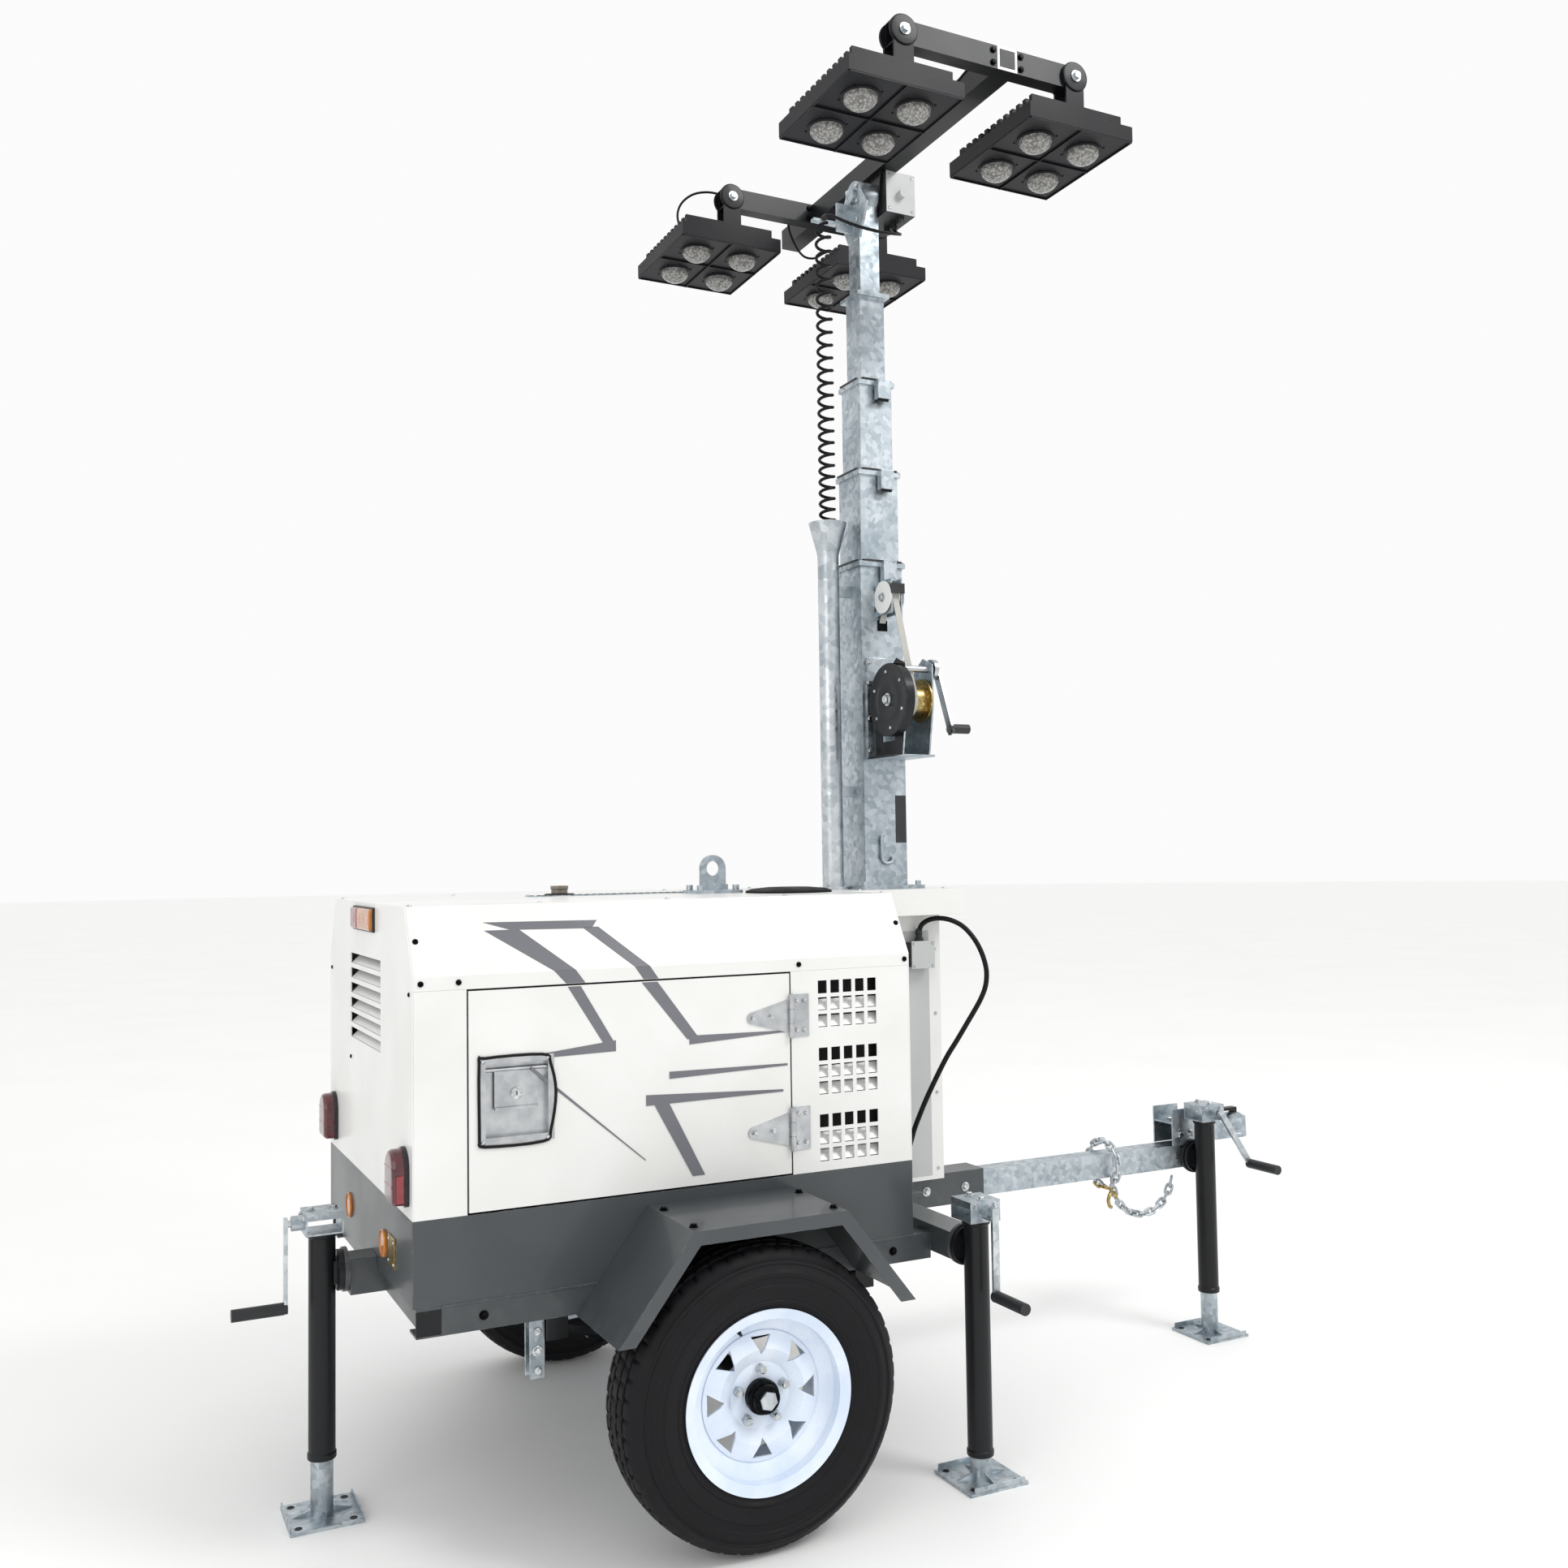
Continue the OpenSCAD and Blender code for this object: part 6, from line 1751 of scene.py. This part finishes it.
    def winch(self) -> None:
        """The frame's bolts, and the gear cover's rings, screws and centre bolt."""
        low = corners("winch_frame")[0]
        d_low, d_high = corners("winch_drum")
        y, z = (d_low.y + d_high.y) / 2, (d_low.z + d_high.z) / 2
        piece = Piece("winch_fittings", "trailer")
        piece.lathe((low.x, y, z), (-1, 0, 0),
                    [(99.6, -1), (99.6, 0.2), (92, 1.2), (88, 0.2), (60, 0.2), (56, 1.4), (30, 1.4),
                     (28, 0.2), (0, 0.2)], BLACK_COAT, 64)
        piece.bolt((low.x - 0.2, y, z), (-1, 0, 0), 26, BRIGHT_ZINC)
        for k in range(6):
            a = math.tau * k / 6 + 0.4
            place = (low.x - 0.2, y + 78 * math.cos(a), z + 78 * math.sin(a))
            piece.screw(place, (-1, 0, 0), 10, BRIGHT_ZINC)
        for dx in (8, 122):
            for dz in (-130, -40, 60, 118):
                piece.bolt((low.x + dx, -73.5, z + dz), (0, -1, 0), 15, BRIGHT_ZINC)
        piece.done()

    def patch(self) -> None:
        """The blank black plate low on the fixed section."""
        piece = Piece("mast_patch", "trailer")
        piece.block((self.x + 32, -68.4, self.roof + 129), (self.x + 66.5, -67.5, self.roof + 262),
                    NYLON_BLACK)
        piece.done(bevel=0.3)

    def column(self) -> None:
        """Light-grey sheet over the column's white side as painted shade under the cap, the connector's lid and
        screws, and screws along the column's side.
        """
        low, high = corners("mast_column")
        piece = Piece("column_fittings", "trailer")
        side = -95.0
        # Light grey laid over the white column side: painted shade where the cap shades that face; the front 38
        # mm stays white.
        piece.block((low.x + 6, side - 1.4, low.z + 12), (high.x - 38, side, high.z - 116), GREY_COAT_AND_PAINTED_SHADE)
        x0, x1 = 227.5, 295.5
        piece.block((x0 - 3, -135, 1166), (x1 + 3, -131, 1242), GREY_COAT_AND_PAINTED_SHADE)
        for x in (x0 + 4, x1 - 4):
            for z in (1173, 1235):
                piece.screw((x, -135, z), (0, -1, 0), 8, BRIGHT_ZINC)
        for z in (low.z + 30, low.z + 240, low.z + 460, low.z + 640):
            piece.screw((low.x + 22, side - 1.4, z), (0, -1, 0), 10, BRIGHT_ZINC)
            piece.screw((high.x - 18, side, z), (0, -1, 0), 10, BRIGHT_ZINC)
        piece.done(bevel=0.6)

    def build(self) -> None:
        """All of the mast."""
        self.dress_sections()
        self.collars()
        self.pulley()
        self.strap()
        self.winch()
        self.patch()
        self.column()


# ---------------------------------------------------------------- lamp head

@dataclass
class Lamp:
    """One floodlight: deep housing, four domed lenses in rings, and its fork's bolts."""

    corner: Corner
    lens: float = 42.0

    def build(self) -> None:
        """Dresses the housing and adds its rings, ribs, bolts and gasket."""
        node = self.corner.value[0]
        low, high = corners(node)
        sx, sy = (low.x + high.x) / 2, (low.y + high.y) / 2
        base = low.z + 36
        dress(node, LAMP_COAT, 1.2, [(DOME_GLASS, lambda p: p.z < base - 0.2)])
        piece = Piece(f"{node}_trim", node)
        dx, dy = (320 - 20) / 4, (365 - 20) / 4
        for ox in (-dx, dx):
            for oy in (-dy, dy):
                piece.lathe((sx + ox, sy + oy, base + 1), (0, 0, -1),
                            [(42.3, 0), (49, 0), (49, 3), (47, 4.6), (42.3, 4.6)],
                            LAMP_COAT, 48, closed=True)
                for k in range(4):
                    a = math.tau * k / 4 + math.pi / 4
                    place = (sx + ox + 54 * math.cos(a), sy + oy + 54 * math.sin(a), base)
                    piece.screw(place, (0, 0, -1), 6, BLACK_OXIDE)
        w, d, depth = 159.2, 181.7, 4.0
        for x in (-w, w - 3):
            piece.block((sx + x, sy - d, base - depth), (sx + x + 3, sy + d, base + 2), LAMP_COAT)
        for y in (-d, d - 3):
            piece.block((sx - w, sy + y, base - depth), (sx + w, sy + y + 3, base + 2), LAMP_COAT)
        piece.block((sx - 1.5, sy - d, base - 5), (sx + 1.5, sy + d, base + 1), LAMP_COAT)
        piece.block((sx - w, sy - 1.5, base - 5), (sx + w, sy + 1.5, base + 1), LAMP_COAT)
        pivot_y = sy - 88
        px, pz = sx + 33, high.z - 39
        for s in (-1, 1):
            piece.lathe((px, pivot_y + s * 26.5, pz), (0, s, 0),
                        [(37.5, 0), (37.5, 3), (34, 4.5), (0, 4.5)], BLACK_COAT, 48)
            piece.bolt((px, pivot_y + s * 31, pz), (0, s, 0), 22, ZINC_BAR)
        piece.lathe((px - 36, pivot_y + 30, base + 75), (0, 1, 0), [(11, 0), (11, 14), (8, 18), (0, 18)],
                    NYLON_BLACK, 9)
        piece.done(bevel=0.7, slot="die_cast_black")


@dataclass
class Head:
    """Crossbeam, junction box and the four lamps."""

    def build(self) -> None:
        """Dresses the beam and the box, adds caps, bolts and the lamps."""
        low, high = corners("head_beam")
        pin = corners("mast_section_4")[1].z - 45
        dress("head_beam", BLACK_COAT, 1.6,
              [(ZINC_DIP, lambda p: abs(p.y) < 46 and p.z < low.z + 92 and p.x < 200)])
        box_low, box_high = corners("junction_box")
        dress("junction_box", NYLON_BLACK, 1.6,
              [(GREY_COAT_AND_PAINTED_SHADE, lambda p: p.y < box_low.y + 22 and p.z > box_low.z + 22)])
        beam = 230.5
        piece = Piece("beam_fittings", "head")
        z = high.z - 30
        for y, s in ((low.y, -1), (high.y, 1)):
            piece.block((beam - 30, y, z - 30), (beam + 30, y + s * 2, z + 30), WHITE_COAT)
            piece.block((beam - 23, y + s * 2, z - 23), (beam + 23, y + s * 3, z + 23), NYLON_BLACK)
        for y in (-640, 357):
            for s in (-1, 1):
                for dz in (-16, 16):
                    piece.bolt((beam + s * 42, y - 20, z + dz), (0, -1, 0), 13, BLACK_OXIDE)
        for x in (box_low.x + 10, box_high.x - 10):
            for zz in (box_low.z + 32, box_high.z - 10):
                piece.screw((x, box_low.y + 18, zz), (0, -1, 0), 8, BRIGHT_ZINC)
        piece.done(bevel=0.6)
        joint = Piece("tilt_pin", "mast_top")
        x = corners("mast_section_4")[0].x
        mast = 187.5
        joint.lathe((mast + 28, 0, pin), (1, 0, 0), [(12.4, -2), (12.4, -1)], BLACK_OXIDE, 24)
        for a in (-140, -40, 40, 140):
            r = math.radians(a)
            joint.bolt((mast - 34, 36 * math.cos(r), pin + 36 * math.sin(r)), (-1, 0, 0), 13, BRIGHT_ZINC)
        joint.bolt((mast - 34, -26, pin - 76), (-1, 0, 0), 15, BRIGHT_ZINC)
        joint.bolt((mast - 34, 26, pin - 76), (-1, 0, 0), 15, BRIGHT_ZINC)
        joint.done()
        for corner in Corner:
            Lamp(corner).build()


# ---------------------------------------------------------------- inside

@dataclass
class Powerpack:
    """Engine, alternator, cooling and electrics under the canopy."""

    def build(self) -> None:
        """Dresses each machine, and adds bolts, the muffler's clamps and the alternator's vents."""
        dress("engine", ENGINE_PAINT, 1.6)
        dress("alternator", ALTERNATOR_PAINT, 2.0)
        dress("radiator", CORE, 0.8)
        dress("muffler", ALUMINISED, 2.0)
        dress("fuel_tank", TANK_PE, 6.0)
        dress("panel_and_battery", PANEL_COAT, 1.6, [(TANK_PE, lambda p: p.x < -700)])
        low, high = corners("engine")
        piece = Piece("engine_fittings", "trailer")
        for i in range(6):
            for y in (-62, 52):
                piece.bolt((low.x + 122 + i * 62, y, high.z - 22), (0, 0, 1), 14, BRIGHT_ZINC)
        for i in range(5):
            piece.lathe((low.x + 104 + i * 50, -215, 1000), (1, 0, 0),
                        [(65.4, 0), (67, 3), (67, 9), (65.4, 12)], BLACK_COAT, 40)
        for x in (low.x + 60, low.x + 240, low.x + 420):
            piece.bolt((x, -142, 860), (0, -1, 0), 19, BRIGHT_ZINC)
            piece.bolt((x, 142, 860), (0, 1, 0), 19, BRIGHT_ZINC)
        piece.done(bevel=0.4, slot="engine_paint")
        a_low, a_high = corners("alternator")
        cover = Piece("alternator_fittings", "trailer")
        for k in range(8):
            a = math.tau * k / 8
            place = (a_high.x - 40, 152 * math.cos(a), 883 + 152 * math.sin(a))
            cover.bolt(place, (1, 0, 0), 13, BRIGHT_ZINC)
        for k in range(5):
            x = a_low.x + 72 + k * 34
            cover.block((x, -111.5, 1050), (x + 16, -110, 1110), BLACK_OXIDE)
        cover.done(bevel=0.3, slot="alternator_paint")


def main() -> None:
    """Builds the camera and the cords first, then each sub-assembly."""
    Studio().build()
    Cords().build()
    Canopy().build()
    Undercarriage().build()
    for name, turn in (("rear", 180.0), ("right", -90.0), ("left", 90.0), ("nose", -90.0)):
        Jack(name, turn).build()
    Mast().build()
    Head().build()
    Powerpack().build()


if __name__ == "__main__":
    logging.basicConfig(level=logging.INFO, format="%(name)s: %(message)s")
    main()
